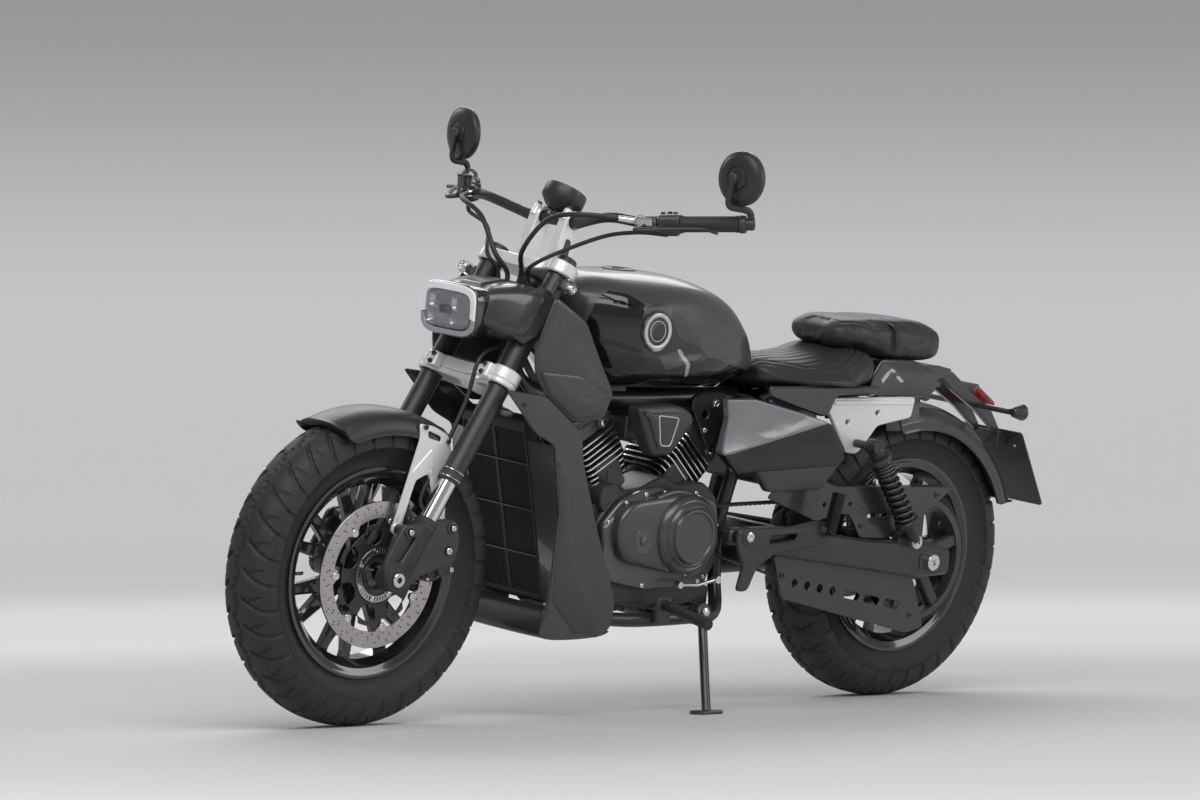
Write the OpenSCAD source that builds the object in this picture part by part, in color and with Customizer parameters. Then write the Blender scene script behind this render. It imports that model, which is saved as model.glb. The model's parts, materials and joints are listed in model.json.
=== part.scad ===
// Cruiser motorcycle with a V-twin engine and belt drive, parked on its side stand.
// Every part is drawn on the upright machine: X forward, Y to the rider's left, Z up,
// zero on the ground half way between the usual places of the axles. The last lines lean it
// onto its stand.

/* [Stance] */
// Distance between the axles
wheelbase = 1530; // [1300:10:1850]
// Lean to the left on the side stand, in degrees
lean = 8; // [5:0.5:10]
// Angle of the steering head from vertical, in degrees
rake = 30.5; // [25:0.5:33]
// Distance on the ground from the steering axis back to below the front axle
trail = 127; // [100:1:150]

/* [Wheels] */
// Diameter of the front tyre
front_tyre_d = 640; // [600:2:760]
// Width of the front tyre
front_tyre_w = 130; // [110:1:156]
// Diameter of the rear tyre
rear_tyre_d = 646; // [600:2:670]
// Width of the rear tyre
rear_tyre_w = 150; // [125:1:160]
// Diameter at which the beads seat on the rim
bead_d = 406.4; // [340:0.2:430]
// Height of the rim flange over the bead seat
flange_h = 14; // [8:0.5:18]
// Width between the front rim's flanges
front_rim_w = 76; // [64:1:92]
// Width between the rear rim's flanges
rear_rim_w = 102; // [80:1:112]
// Number of forked spokes in a wheel
spoke_count = 7; // [5:1:9]

/* [Front end] */
// Distance between the fork tubes' centres
fork_spacing = 210; // [200:2:252]
// Outer diameter of the upper fork tubes
fork_tube_d = 46; // [38:1:52]
// Diameter of the sliding inner tubes
slider_d = 37; // [31:1:43]
// Distance of the fork tubes ahead of the steering axis
fork_offset = 40; // [34:1:48]
// Diameter of the front axle
front_axle_d = 20; // [16:1:24]
// Diameter of the front brake disc
front_disc_d = 302; // [270:2:320]
// Distance between the bar ends
bar_w = 840; // [760:10:960]
// Diameter of the mirrors
mirror_d = 112; // [90:2:130]

/* [Body] */
// Greatest width of the fuel tank
tank_w = 344; // [300:2:380]
// Height of the tank's top over the ground
tank_top = 945; // [920:5:980]
// Greatest width of the rider's seat
seat_w = 318; // [280:2:340]
// Width of the passenger's pad
pillion_w = 206; // [180:2:230]
// Width of the radiator core
radiator_w = 196; // [160:2:210]

/* [Rear end] */
// Diameter of the rear axle
rear_axle_d = 24; // [20:1:28]
// Radius of the rear belt pulley
pulley_r = 140; // [120:1:146]
// Width of the drive belt
belt_w = 24; // [18:1:26]
// Diameter of the rear brake disc
rear_disc_d = 240; // [200:2:250]
// Width of the number plate
plate_w = 200; // [160:5:240]
// Diameter of the muffler
muffler_d = 96; // [80:2:104]

/* [Hidden] */
$fn = 48;

// Clearances: parts that seat on each other, a shaft in its bore, and a belt on its pulley
seat_gap = 0.3;
run_gap = 0.05;
belt_gap = 0.8;
eps = 0.01;

// The front axle stays where it is; a longer machine has a longer swingarm and its tail goes with it
front_axle = [765, 0, front_tyre_d / 2];
rear_axle = [765 - wheelbase, 0, rear_tyre_d / 2];
tail_x = rear_axle[0] + 765;      // how far the tail has moved from its usual place

// --- Stance -------------------------------------------------------------------------------

// Half of a tyre's outer section, as [radius from the axle, distance from the middle]; it is
// widest at the same radius as a tyre of diameter wide_d
tyre_steps = 10;
function tyre_outer(d, w, rim_w, wide_d) =
    let (mid = bead_d / 4 + wide_d / 4, foot = bead_d / 2 + flange_h + 2, hw = rim_w / 2 - seat_gap)
    [for (i = [0:tyre_steps]) let (a = 90 * i / tyre_steps)
        [foot + (mid - foot) * sin(a), hw + (w / 2 - hw) * (1 - pow(cos(a), 1.6))],
     for (i = [1:tyre_steps]) let (a = 90 * i / tyre_steps)
        [mid + (d / 2 - mid) * pow(sin(a), 0.92), w / 2 * pow(cos(a), 0.78)]];

// How far a leaning wheel's lowest point is over the floor, if the machine turns about X at 0
function tyre_low(d, w, rim_w) = min([for (p = tyre_outer(d, w, rim_w, d))
    (d / 2 - p[0]) * cos(lean) - p[1] * sin(lean)]);
stand_lift = -min(tyre_low(front_tyre_d, front_tyre_w, front_rim_w),
                  tyre_low(rear_tyre_d, rear_tyre_w, rear_rim_w));
// Height of the floor on the leaning machine, at a distance y to the left
function floor_z(y) = y * tan(lean) - stand_lift / cos(lean);

tail_end = 405;       // the plate's lowest edge, behind the rear axle
box_shift = [(front_axle[0] + front_tyre_d / 2 + rear_axle[0] - tail_end) / 2, 1184 * sin(lean)];
module parked() {
    translate([-box_shift[0], -box_shift[1], stand_lift]) rotate([-lean, 0, 0]) children();
}

// --- Tools for shapes ---------------------------------------------------------------------

function unit(v) = v / norm(v);
function spline_point(p, i, t) =
    let (a = p[max(i - 1, 0)], b = p[i], c = p[i + 1], d = p[min(i + 2, len(p) - 1)])
    0.5 * (2 * b + (c - a) * t + (2 * a - 5 * b + 4 * c - d) * t * t
        + (3 * b - a - 3 * c + d) * t * t * t);
function spline(p, steps) = concat([for (i = [0:len(p) - 2]) for (k = [0:steps - 1])
    spline_point(p, i, k / steps)], [p[len(p) - 1]]);
function tangent(p, i) = unit(p[min(i + 1, len(p) - 1)] - p[max(i - 1, 0)]);

// A closed skin over rings of points; each ring runs anticlockwise seen from the last ring
module loft(rings) {
    n = len(rings[0]);
    m = len(rings);
    polyhedron(points = [for (r = rings) each r], faces = concat(
        [[for (j = [0:n - 1]) j]],
        [for (i = [0:m - 2]) for (j = [0:n - 1]) let (k = (j + 1) % n)
            each [[i * n + j, (i + 1) * n + j, (i + 1) * n + k],
                  [i * n + j, (i + 1) * n + k, i * n + k]]],
        [[for (j = [n - 1:-1:0]) (m - 1) * n + j]]), convexity = 6);
}

// A round tube along points; ref is any direction that the path never takes
module tube(path, r, ref = [0, 1, 0], sides = 12) {
    loft([for (i = [0:len(path) - 1]) let (t = tangent(path, i), u = unit(cross(t, ref)), v = cross(t, u))
        [for (j = [0:sides - 1]) let (a = 360 * j / sides) path[i] + r * (u * cos(a) + v * sin(a))]]);
}

// A rounded ring in a plane across X: half width w, top and bottom heights, and squareness
function body_ring(x, w, low, high, p = 0.7, n = 24) = [for (j = [0:n - 1])
    let (a = 360 * j / n, c = cos(a), s = sin(a))
    [x, w * sign(c) * pow(abs(c), p), (low + high) / 2 + (high - low) / 2 * sign(s) * pow(abs(s), p)]];

// An outline of [x, z] points, as a plate from y to y + t
module plate(points, y, t) {
    translate([0, y + t, 0]) rotate([90, 0, 0]) linear_extrude(t) polygon(points);
}
// A round bar along Y, centred on [x, z]
module bar_y(at, r, y, t) {
    translate([at[0], y + t, at[1]]) rotate([90, 0, 0]) cylinder(r = r, h = t);
}
module both_sides() {
    children();
    mirror([0, 1, 0]) children();
}
module at_axle(p) {
    translate(p) rotate([90, 0, 0]) children();
}

// --- Wheels -------------------------------------------------------------------------------

crown_t = 16;         // tyre thickness under the tread
wall_t = 9;           // tyre sidewall thickness
module tyre(d, w, rim_w) {
    outer = tyre_outer(d, w, rim_w, d);
    inner = tyre_outer(d - 2 * crown_t, w - 2 * wall_t, rim_w - 2 * wall_t, d);
    bead = bead_d / 2 + seat_gap;
    hw = rim_w / 2 - seat_gap;
    half = concat([[bead, hw - wall_t - 4], [bead, hw]], outer);
    back = [for (i = [len(inner) - 1:-1:0]) inner[i]];
    rotate_extrude() polygon(concat(
        half,
        [for (i = [len(outer) - 2:-1:0]) [outer[i][0], -outer[i][1]]],
        [[bead, -hw], [bead, -hw + wall_t + 4]],
        [for (i = [0:len(inner) - 1]) [inner[i][0], -inner[i][1]]],
        [for (i = [1:len(back) - 1]) back[i]]));
}

flange_t = 7;         // thickness of a rim flange
rim_wall = 7;         // thickness of the rim's barrel
hub_r = 36;
spoke_t = 24;         // thickness of the spokes, along the axle
module rim_barrel(rim_w) {
    bead = bead_d / 2;
    hw = rim_w / 2;
    well = bead - 16;
    rotate_extrude() polygon([
        [bead + flange_h, hw + flange_t], [bead + flange_h, hw], [bead, hw], [bead, hw - 15],
        [well, hw - 23], [well, 23 - hw], [bead, 15 - hw], [bead, -hw], [bead + flange_h, -hw],
        [bead + flange_h, -hw - flange_t], [bead + flange_h - 6, -hw - flange_t],
        [bead - rim_wall, 2 - hw], [well - rim_wall, 19 - hw], [well - rim_wall, hw - 19],
        [bead - rim_wall, hw - 2], [bead + flange_h - 6, hw + flange_t]]);
}
module spokes(bolt_r) {
    rim_in = bead_d / 2 - 16 - rim_wall + 3;
    translate([0, 0, -spoke_t / 2]) linear_extrude(spoke_t)
        for (i = [0:spoke_count - 1]) rotate(360 * (i + 0.44) / spoke_count)
            polygon([[bolt_r, -17], [rim_in - 5, -46], [rim_in, -43], [rim_in, -17], [118, 0],
                     [rim_in, 17], [rim_in, 43], [rim_in - 5, 46], [bolt_r, 17]]);
}
// A cast wheel about Z; its hub runs from low to high
module cast_wheel(rim_w, axle_d, low, high) {
    difference() {
        union() {
            rim_barrel(rim_w);
            spokes(hub_r - 10);
            translate([0, 0, low]) cylinder(r = hub_r, h = high - low);
        }
        translate([0, 0, low - 1]) cylinder(d = axle_d + 2 * run_gap, h = high - low + 2);
    }
}

front_hub = [-48, 52];
module front_wheel() {
    color("#141516") at_axle(front_axle) rotate([180, 0, 0])
        cast_wheel(front_rim_w, front_axle_d, front_hub[0], front_hub[1]);
}
module front_tyre() {
    color("#232425") at_axle(front_axle) tyre(front_tyre_d, front_tyre_w, front_rim_w);
}
disc_t = 5;
front_disc_y = 58;    // the disc's inner face
disc_band = 34;       // width of the braking band
// A disc's band and its carrier, as an outline
module disc_outline(d, band, arms) {
    difference() {
        circle(d = d, $fn = 96);
        circle(d = d - 2 * band, $fn = 96);
    }
    difference() {
        union() {
            circle(r = 62);
            for (i = [0:arms - 1]) rotate(360 * i / arms) translate([50, -8]) square([d / 2 - band - 48, 16]);
        }
        circle(r = 26);
    }
}
module front_brake_disc() {
    color("#b4aeaa") {
        at_axle([front_axle[0], front_disc_y + disc_t, front_axle[2]])
            linear_extrude(disc_t) disc_outline(front_disc_d, disc_band, 7);
        at_axle([front_axle[0], front_disc_y + eps, front_axle[2]])
            linear_extrude(front_disc_y - front_hub[1] + eps) difference() {
                circle(r = hub_r - 2);
                circle(r = 26);
            }
    }
}
belt_y = 111 - belt_w;        // the belt's inner edge
rear_hub = [-84, belt_y - 3];
module rear_wheel() {
    color("#141516") at_axle(rear_axle) rotate([180, 0, 0])
        cast_wheel(rear_rim_w, rear_axle_d, rear_hub[0], rear_hub[1]);
}
module rear_tyre() {
    color("#232425") at_axle(rear_axle) tyre(rear_tyre_d, rear_tyre_w, rear_rim_w);
}
module rear_pulley() {
    color("#2c2d2e") at_axle([rear_axle[0], belt_y + belt_w + 2, rear_axle[2]]) linear_extrude(belt_w + 4)
        difference() {
            union() {
                difference() {
                    circle(r = pulley_r, $fn = 96);
                    circle(r = pulley_r - 16, $fn = 96);
                }
                for (i = [0:4]) rotate(72 * i + 18) translate([30, -13]) square([pulley_r - 42, 26]);
                circle(r = 46);
            }
            circle(r = 18);
        }
    color("#2c2d2e") at_axle([rear_axle[0], belt_y - 2 + eps, rear_axle[2]])
        linear_extrude(belt_y - 2 - rear_hub[1] + eps) difference() {
            circle(r = hub_r - 2);
            circle(r = 18);
        }
}
rear_disc_y = -95;    // the disc's outer face
module rear_brake_disc() {
    color("#8f8c88") {
        at_axle([rear_axle[0], rear_disc_y + disc_t, rear_axle[2]])
            linear_extrude(disc_t) disc_outline(rear_disc_d, disc_band, 5);
        at_axle([rear_axle[0], rear_hub[0], rear_axle[2]])
            linear_extrude(rear_hub[0] - rear_disc_y - disc_t + eps) difference() {
                circle(r = hub_r - 2);
                circle(r = 26);
            }
    }
}

// --- Steering -----------------------------------------------------------------------------

steer_x = front_axle[0] + trail;
// Steering frame: Z runs up the steering axis from the ground, X forward and up
module steer() {
    translate([steer_x, 0, 0]) rotate([0, -rake, 0]) children();
}
// The same, as a function, for points
function steered(p) = [steer_x + p[0] * cos(rake) - p[2] * sin(rake), p[1],
                       p[0] * sin(rake) + p[2] * cos(rake)];
function unsteered(p) = [(p[0] - steer_x) * cos(rake) + p[2] * sin(rake), p[1],
                         -(p[0] - steer_x) * sin(rake) + p[2] * cos(rake)];
axle_s = unsteered(front_axle);
fork_y = max(fork_spacing / 2, front_tyre_w / 2 + 40);
fork_r = fork_tube_d / 2;
lower_clamp_z = axle_s[2] + 460;
clamp_t = 38;
upper_clamp_z = lower_clamp_z + 266;
upper_clamp_t = 28;
fork_top = upper_clamp_z + upper_clamp_t + 12;
slider_top = axle_s[2] + 250;
casting_top = axle_s[2] + 130;
stem_r = 16;
clamp_wall = 10;      // clamp metal round a fork tube
lug_w = 44;           // width of the axle lugs
axle_end = fork_y + lug_w / 2 + 5;

module front_axle() {
    color("#9a9a9a") at_axle([front_axle[0], axle_end, front_axle[2]]) difference() {
        union() {
            cylinder(d = front_axle_d, h = 2 * axle_end);
            for (z = [0, 2 * axle_end - 4.7]) translate([0, 0, z]) cylinder(r = 15, h = 4.7);
            translate([0, 0, axle_end - fork_y + lug_w / 2 + seat_gap])
                cylinder(r = 14, h = fork_y - lug_w / 2 - front_hub[1] - 2 * seat_gap);
            translate([0, 0, axle_end - front_hub[0] + seat_gap])
                cylinder(r = 14, h = fork_y - lug_w / 2 + front_hub[0] - 2 * seat_gap);
        }
        translate([0, 0, -1]) cylinder(r = 6.5, h = 2 * axle_end + 2);
    }
}
module fork_legs() {
    both_sides() {
        steer() translate([fork_offset, fork_y, 0]) {
            color("#101112") translate([0, 0, slider_top])
                cylinder(d = fork_tube_d, h = fork_top - slider_top);
            color("#c9cacc") translate([0, 0, casting_top - 30])
                cylinder(d = slider_d, h = slider_top - casting_top + 31);
            color("#2a2b2c") difference() {
                union() {
                    translate([0, 0, axle_s[2] + 8])
                        cylinder(d = slider_d + 9, h = casting_top - axle_s[2] - 8);
                    translate([axle_s[0] - fork_offset, lug_w / 2, axle_s[2]]) rotate([90, 0, 0])
                        cylinder(r = 27, h = lug_w);
                }
                translate([axle_s[0] - fork_offset, lug_w, axle_s[2]]) rotate([90, 0, 0])
                    cylinder(d = front_axle_d + 2 * run_gap, h = 2 * lug_w);
            }
        }
    }
}
// A fork clamp's outline across the steering axis
module clamp_outline(back) {
    difference() {
        union() {
            for (s = [-1, 1]) translate([fork_offset, s * fork_y]) circle(r = fork_r + clamp_wall);
            circle(r = 31);
            polygon([[-back, -24], [fork_offset - 22, -fork_y], [fork_offset + 26, -fork_y],
                     [fork_offset + 12, 0], [fork_offset + 26, fork_y], [fork_offset - 22, fork_y],
                     [-back, 24]]);
        }
        for (s = [-1, 1]) translate([fork_offset, s * fork_y]) circle(r = fork_r + run_gap);
    }
}
module lower_clamp() {
    color("#e6e6e4") steer() {
        translate([0, 0, lower_clamp_z]) linear_extrude(clamp_t) clamp_outline(20);
        translate([0, 0, lower_clamp_z + 1])
            cylinder(r = stem_r, h = upper_clamp_z - lower_clamp_z - 1 - seat_gap);
    }
}
riser_y = 46;
riser_top = [32, 102];        // the bar clamp's centre from the upper clamp's top: forward and up
bar_r = 13;
module upper_clamp() {
    color("#e6e6e4") steer() difference() {
        union() {
            translate([0, 0, upper_clamp_z]) linear_extrude(upper_clamp_t) clamp_outline(20);
            for (s = [-1, 1]) translate([0, s * riser_y + 14, upper_clamp_z + upper_clamp_t])
                rotate([90, 0, 0]) linear_extrude(28) union() {
                    translate(riser_top) circle(r = bar_r + 9);
                    polygon([[-22, -1], [26, -1], [riser_top[0] + 18, riser_top[1]],
                             [riser_top[0] - 18, riser_top[1]]]);
                }
        }
        translate([riser_top[0], 100, upper_clamp_z + upper_clamp_t + riser_top[1]]) rotate([90, 0, 0])
            cylinder(r = bar_r + seat_gap, h = 200);
    }
}
bar_at = steered([riser_top[0], 0, upper_clamp_z + upper_clamp_t + riser_top[1]]);
bar_bend = [22, 190, 26];    // from the clamp's centre to the bend
bar_knee = [-18, 290, 24];   // to the start of the straight grip
bar_tip = [-125, bar_w / 2, 42];
function bar_side(s) = [for (p = [[0, 62, 0], [6, 90, 4], bar_bend, bar_knee, bar_tip])
    bar_at + [p[0], s * p[1], p[2]]];
module handlebar() {
    color("#0f1011") {
        translate([bar_at[0], 66, bar_at[2]]) rotate([90, 0, 0]) cylinder(r = bar_r, h = 132);
        for (s = [-1, 1]) tube(spline(bar_side(s), 4), 11, ref = [0, 0, 1]);
    }
}
// Frame of a bar's straight outer part: z runs out along the grip, from its tip
module on_bar(s) {
    d = unit(bar_side(s)[4] - bar_side(s)[3]);
    translate(bar_side(s)[4]) rotate([0, acos(d[2]), atan2(d[1], d[0])]) children();
}
grip_l = 122;
module hand_controls() {
    for (s = [-1, 1]) {
        knee = bar_side(s)[3];
        tip = bar_side(s)[4];
        d = unit(tip - knee);
        perch = tip - (grip_l + 62) * d;
        color("#161718") difference() {
            union() {
                on_bar(s) {
                    translate([0, 0, -grip_l]) cylinder(r = 17, h = grip_l);
                    translate([0, 0, -grip_l - 46]) cylinder(r = 22, h = 46.5);
                    translate([0, 0, -grip_l - 78]) cylinder(r = 18, h = 32.5);
                    translate([0, 0, -2]) cylinder(r = 19, h = 14);
                }
                // box on the lever's perch
                translate(perch + [18, 0, s > 0 ? 4 : 14]) rotate([0, 0, s * 42]) translate([-14, -24, -16])
                    cube([34, 48, s > 0 ? 24 : 38]);
                tube([perch + [16, 0, -4], perch + [50, s * 14, -10], tip + [66, s * -40, -16],
                      tip + [60, s * -10, -20]], 6, ref = [0, 0, 1], sides = 8);
            }
            tube(spline(bar_side(s), 4), 11.3, ref = [0, 0, 1]);
        }
    }
}
mirror_stalk = [20, 10, 94];     // from a bar's tip to the mirror's centre
module mirrors() {
    for (s = [-1, 1]) {
        tip = bar_side(s)[4];
        c = tip + [mirror_stalk[0], s * mirror_stalk[1], mirror_stalk[2]];
        color("#131415") {
            translate(c) rotate([0, 90, s * 8]) {
                translate([0, 0, -9]) cylinder(d = mirror_d, h = 18);
                translate([0, 0, 8]) cylinder(d1 = mirror_d - 4, d2 = mirror_d - 40, h = 9);
            }
            d = unit(tip - bar_side(s)[3]);
            tube([tip + d * 14.8, tip + d * 24 + [0, 0, 4], tip + d * 26 + [6, 0, 24],
                  c - [0, 0, mirror_d / 2 - 6]], 6, sides = 10);
        }
    }
}
lamp_z = 857;
lamp_x = steered([fork_offset + 124, 0, lower_clamp_z + 108.3])[0];
module headlight() {
    color("#d9dadb") difference() {
        loft([for (p = [[-70, 46, 34], [-62, 66, 46], [-24, 82, 52], [0, 86, 54], [12, 84, 52]])
            body_ring(lamp_x + p[0], p[1], lamp_z - p[2], lamp_z + p[2], 0.45, 32)]);
        loft([for (p = [[-8, 66, 38], [20, 76, 44]])
            body_ring(lamp_x + p[0], p[1], lamp_z - p[2], lamp_z + p[2], 0.45, 32)]);
    }
}
nacelle_y = fork_y + fork_r + seat_gap;
nacelle_z = lower_clamp_z + 92;
module headlight_cowl() {
    front = fork_offset + fork_r + seat_gap;
    color("#1a1b1c") {
        // bridge ahead of the tubes, the cheeks beside them, and the lamp's mount
        steer() {
            translate([front, -nacelle_y - 4, nacelle_z]) cube([6, 2 * nacelle_y + 8, 124]);
            // the cheeks are rounded off where they swing past the shrouds
            both_sides() intersection() {
                plate([[front, nacelle_z], [front + 44, nacelle_z + 12], [front + 56, nacelle_z + 60],
                    [front + 18, nacelle_z + 128], [front - 8, nacelle_z + 128],
                    [front - 30, nacelle_z + 112], [front - 22, nacelle_z + 30]], nacelle_y, 5);
                cylinder(r = cowl_y - 6, h = 1200, $fn = 96);
            }
            both_sides() intersection() {
                plate([[front, nacelle_z + 4], [front + 46, nacelle_z + 16], [front + 58, nacelle_z + 62],
                    [front + 20, nacelle_z + 124], [front, nacelle_z + 124]], nacelle_y - 24, 20);
                cylinder(r = cowl_y - 6, h = 1200, $fn = 96);
            }
        }
        translate([lamp_x - 98, -40, lamp_z - 22]) cube([28, 80, 40]);
        // signals' stalks
        steer() both_sides() bar_y(signal_at, 7, nacelle_y - 0.1, signal_y - nacelle_y - 3.9);
    }
    color("#d8d6d0") steer() both_sides()
        translate([signal_at[0] - 18, signal_y, signal_at[1]]) rotate([0, 90, 0]) {
            cylinder(r1 = 9, r2 = 15, h = 20);
            translate([0, 0, 20]) cylinder(r1 = 15, r2 = 12, h = 16);
        }
}
signal_at = [fork_offset + 6, nacelle_z + 151];
signal_y = nacelle_y + 31.7;
dash_at = bar_at + [-14, 0, 37.5];
module instrument() {
    color("#141516") translate(dash_at) rotate([0, -28, 0]) {
        cylinder(r = 46, h = 26);
        translate([0, 0, -18]) cylinder(r1 = 30, r2 = 46, h = 18.01);
        translate([8, -riser_y + 14.4, -25.5]) cube([10, 2 * riser_y - 28.8, 9]);
    }
}
fender_in = front_tyre_d / 2 + 14;
fender_t = 4;
skirt_y = front_tyre_w / 2 + 8;     // inner face of a front fender's side
module arch_section(r_in, y_in, t, skirt) {
    // right half of an arch across the tyre, drawn as [radius, distance from the middle]
    polygon([[r_in, 0], [r_in - 3, y_in * 0.5], [r_in - 14, y_in * 0.84], [r_in - 34, y_in],
             [r_in - skirt, y_in], [r_in - skirt, y_in + t], [r_in - 32, y_in + t],
             [r_in - 10, y_in * 0.84 + t], [r_in - 3 + t, y_in * 0.5], [r_in + t, 0]]);
}
module arch(axle, from, to, r_in, y_in, t, skirt) {
    translate(axle) rotate([90, 0, 0]) rotate([0, 0, from]) rotate_extrude(angle = to - from) {
        arch_section(r_in, y_in, t, skirt);
        mirror([0, 1]) arch_section(r_in, y_in, t, skirt);
    }
}
module front_fender() {
    color("#1d1e1f") arch(front_axle, 66, 118, fender_in, skirt_y, fender_t, 46);
}
brace_f = [-23, 97];          // brace bolts, from the front axle
brace_r = [-136, 103];
brace_y = skirt_y + fender_t;    // the braces' inner faces
brace_t = 4.6;
function from_axle(p) = [front_axle[0] + p[0], front_axle[2] + p[1]];
function on_arch(r, a) = [r * cos(a), r * sin(a)];
module fender_braces() {
    color("#dcdddc") both_sides() plate([for (p = [on_arch(fender_in - 42, 104),
        on_arch(fender_in - 12, 100), on_arch(fender_in - 12, 116), on_arch(fender_in - 38, 120),
        brace_r + [-12, 36], brace_r + [-13, -6], brace_r + [6, -12], brace_r + [16, 60],
        [-92, 236], [-66, 210], brace_f + [-13, 4], brace_f + [-4, -13], brace_f + [13, -4]])
        from_axle(p)], brace_y, brace_t);
}
web_y = fork_y + 6;           // the web that joins a casting's lugs: inner face
web_t = 12;
caliper_r = 122;              // distance of the caliper's middle from the axle
module fork_lugs() {
    // the web on the outside of each leg, and the brace bolts' bosses
    both_sides() color("#2a2b2c") {
        difference() {
            plate([for (p = [[-20, -22], [22, -20], [36, 30], brace_f + [15, 12], brace_f + [-12, 14],
                [-80, 120], brace_r + [-2, 16], brace_r + [-16, 6], [-160, 64], [-150, 30],
                [-60, 6]]) from_axle(p)], web_y, web_t);
            bar_y([front_axle[0], front_axle[2]], front_axle_d / 2 + 0.3, web_y - 1, web_t + 2);
        }
        for (p = [brace_f, brace_r])
            bar_y(from_axle(p), 11, brace_y + brace_t, web_y + 1 - brace_y - brace_t);
    }
}
caliper_y = front_disc_y + disc_t / 2;
module front_caliper() {
    color("#232425") at_axle([front_axle[0], web_y - eps, front_axle[2]]) rotate([0, 0, 161]) difference() {
        translate([caliper_r - 34, -27, 0]) cube([82, 77, web_y - caliper_y + 28.5]);
        translate([0, 0, web_y - caliper_y - disc_t / 2 - 5])
            cylinder(r = front_disc_d / 2 + 6, h = disc_t + 10);
    }
}

// --- Frame and engine -----------------------------------------------------------------------

head_r = 29;
pivot = [-173, 395];          // the swingarm's pivot, [x, z]
rail_y = 118;
pivot_y = 66;                 // distance of the frame's tubes from the middle, at the pivot
frame_r = 15;
module main_frame() {
    color("#101112") {
        difference() {
            union() {
                steer() translate([0, 0, lower_clamp_z + clamp_t + 2])
                    cylinder(r = head_r, h = upper_clamp_z - lower_clamp_z - clamp_t - 4);
                // backbone under the tank
                tube([steered([-20, 0, lower_clamp_z + 105]), [388, 0, 712], [330, 0, 680], [240, 0, 672],
                      [120, 0, 669], [-90, 0, 668], [-250, 0, 668]], 26, sides = 16);
            }
            steer() translate([0, 0, lower_clamp_z]) cylinder(r = stem_r + run_gap, h = 400);
        }
        translate([80, -18, 680]) cube([50, 36, tank_seat - 680]);
        for (s = [-1, 1]) {
            tube(spline([steered([-18, s * 14, lower_clamp_z + 66]), [372, s * 62, 640],
                  [300, s * 100, 520], [236, s * rail_y, 330], [196, s * rail_y, 236],
                  [120, s * rail_y, 216], [-60, s * rail_y, 216], [-150, s * 108, 222],
                  [-186, s * pivot_y, 290], [pivot[0] - 8, s * pivot_y, pivot[1]],
                  [-200, s * pivot_y, 480], [-236, s * pivot_y, 600], [-250, s * 60, 664],
                  [-250, s * 8, 668]], 3), frame_r, sides = 12);
        }
        bar_y([-10, 216], 12, -rail_y, 2 * rail_y);
        bar_y([-150, 222], 12, -100, 200);
    }
}
fender_y = rear_tyre_w / 2 + 18;     // inner face of the rear fender's sides
rear_arch = rear_tyre_d / 2 + 16;
strut_y = fender_y + fender_t;       // inner face of the seat rails
rail_in = 70;                        // distance of the seat rails from the middle
pan_z = 716;                         // top of the seat's pan
module subframe() {
    color("#131415") {
        // seat rails, the pan on them and the box for the battery and electrics
        both_sides() {
            tube([[-268, rail_in, 672], [-320, rail_in, 690], [-480 + tail_x / 2, rail_in, 690],
                  [-800 + tail_x, rail_in, 700]], 11, sides = 10);
            bar_y([-470 + tail_x, 680], 8, rail_in, strut_y - rail_in);
            bar_y([-610 + tail_x, 682], 8, rail_in, strut_y - rail_in);
        }
        translate([-820 + tail_x, -80, pan_z - 16]) cube([530 - tail_x, 160, 16]);
        translate([-430, -92, 490]) cube([152, 184, 190]);
    }
}
arm_y = belt_y + belt_w + 12;        // inner face of the swingarm's left arm
arm_t = 28;
arm_r = 40;
module swingarm() {
    color("#26272a") {
        difference() {
            union() {
                both_sides() plate([[pivot[0] + 34, pivot[1] + 14], [pivot[0] + 34, pivot[1] - 18],
                    [-300, 346], [-740 + tail_x, 288], [rear_axle[0] - 66, rear_axle[2] - 30],
                    [rear_axle[0] - 66, rear_axle[2] + 26], [-700 + tail_x, 368],
                    [-560 + tail_x, 376], [-300, 410]], arm_y, arm_t);
                bar_y([-318, 378], 27, -arm_y - 1, 2 * arm_y + 2);
                both_sides() bar_y(pivot, 13, pivot_y + frame_r + 0.3, arm_y - pivot_y - frame_r + 1);
            }
            bar_y([rear_axle[0], rear_axle[2]], rear_axle_d / 2 + run_gap, -200, 400);
        }
        // lower mounts of the shocks
        both_sides() translate([tail_x, 0, 0])
            plate([[-740, 340], [-650, 350], [-664, 384], [-694, 398], [-716, 384]], arm_y, arm_t);
    }
}
crank = [70, 404];
front_lean = 31;                 // cylinders' lean from upright, forward and back
rear_lean = -44;
deck = 104;                      // distance of the cylinders' seats from the crank
module cylinder_frame(a) {
    translate([crank[0] + sign(a) * 12, 0, crank[1]]) rotate([0, a, 0]) children();
}
module crankcase() {
    color("#1e1f20") {
        difference() {
            plate([[196, 300], [178, 250], [60, 236], [-110, 242], [-138, 300], [-140, 470],
                   [-96, 506], [20, 520], [150, 486], [204, 420]], -98, 196);
            belt_pocket();
            for (a = [front_lean, rear_lean]) cylinder_frame(a)
                translate([-90, -100, deck]) cube([180, 200, 200]);
        }
        // mounts to the frame's rails
        translate([-32, -rail_y + 16, 228.2]) cube([44, 2 * rail_y - 32, 20]);
        translate([-160, -rail_y + 40, 234.2]) cube([30, 2 * rail_y - 80, 40]);
    }
}
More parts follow.
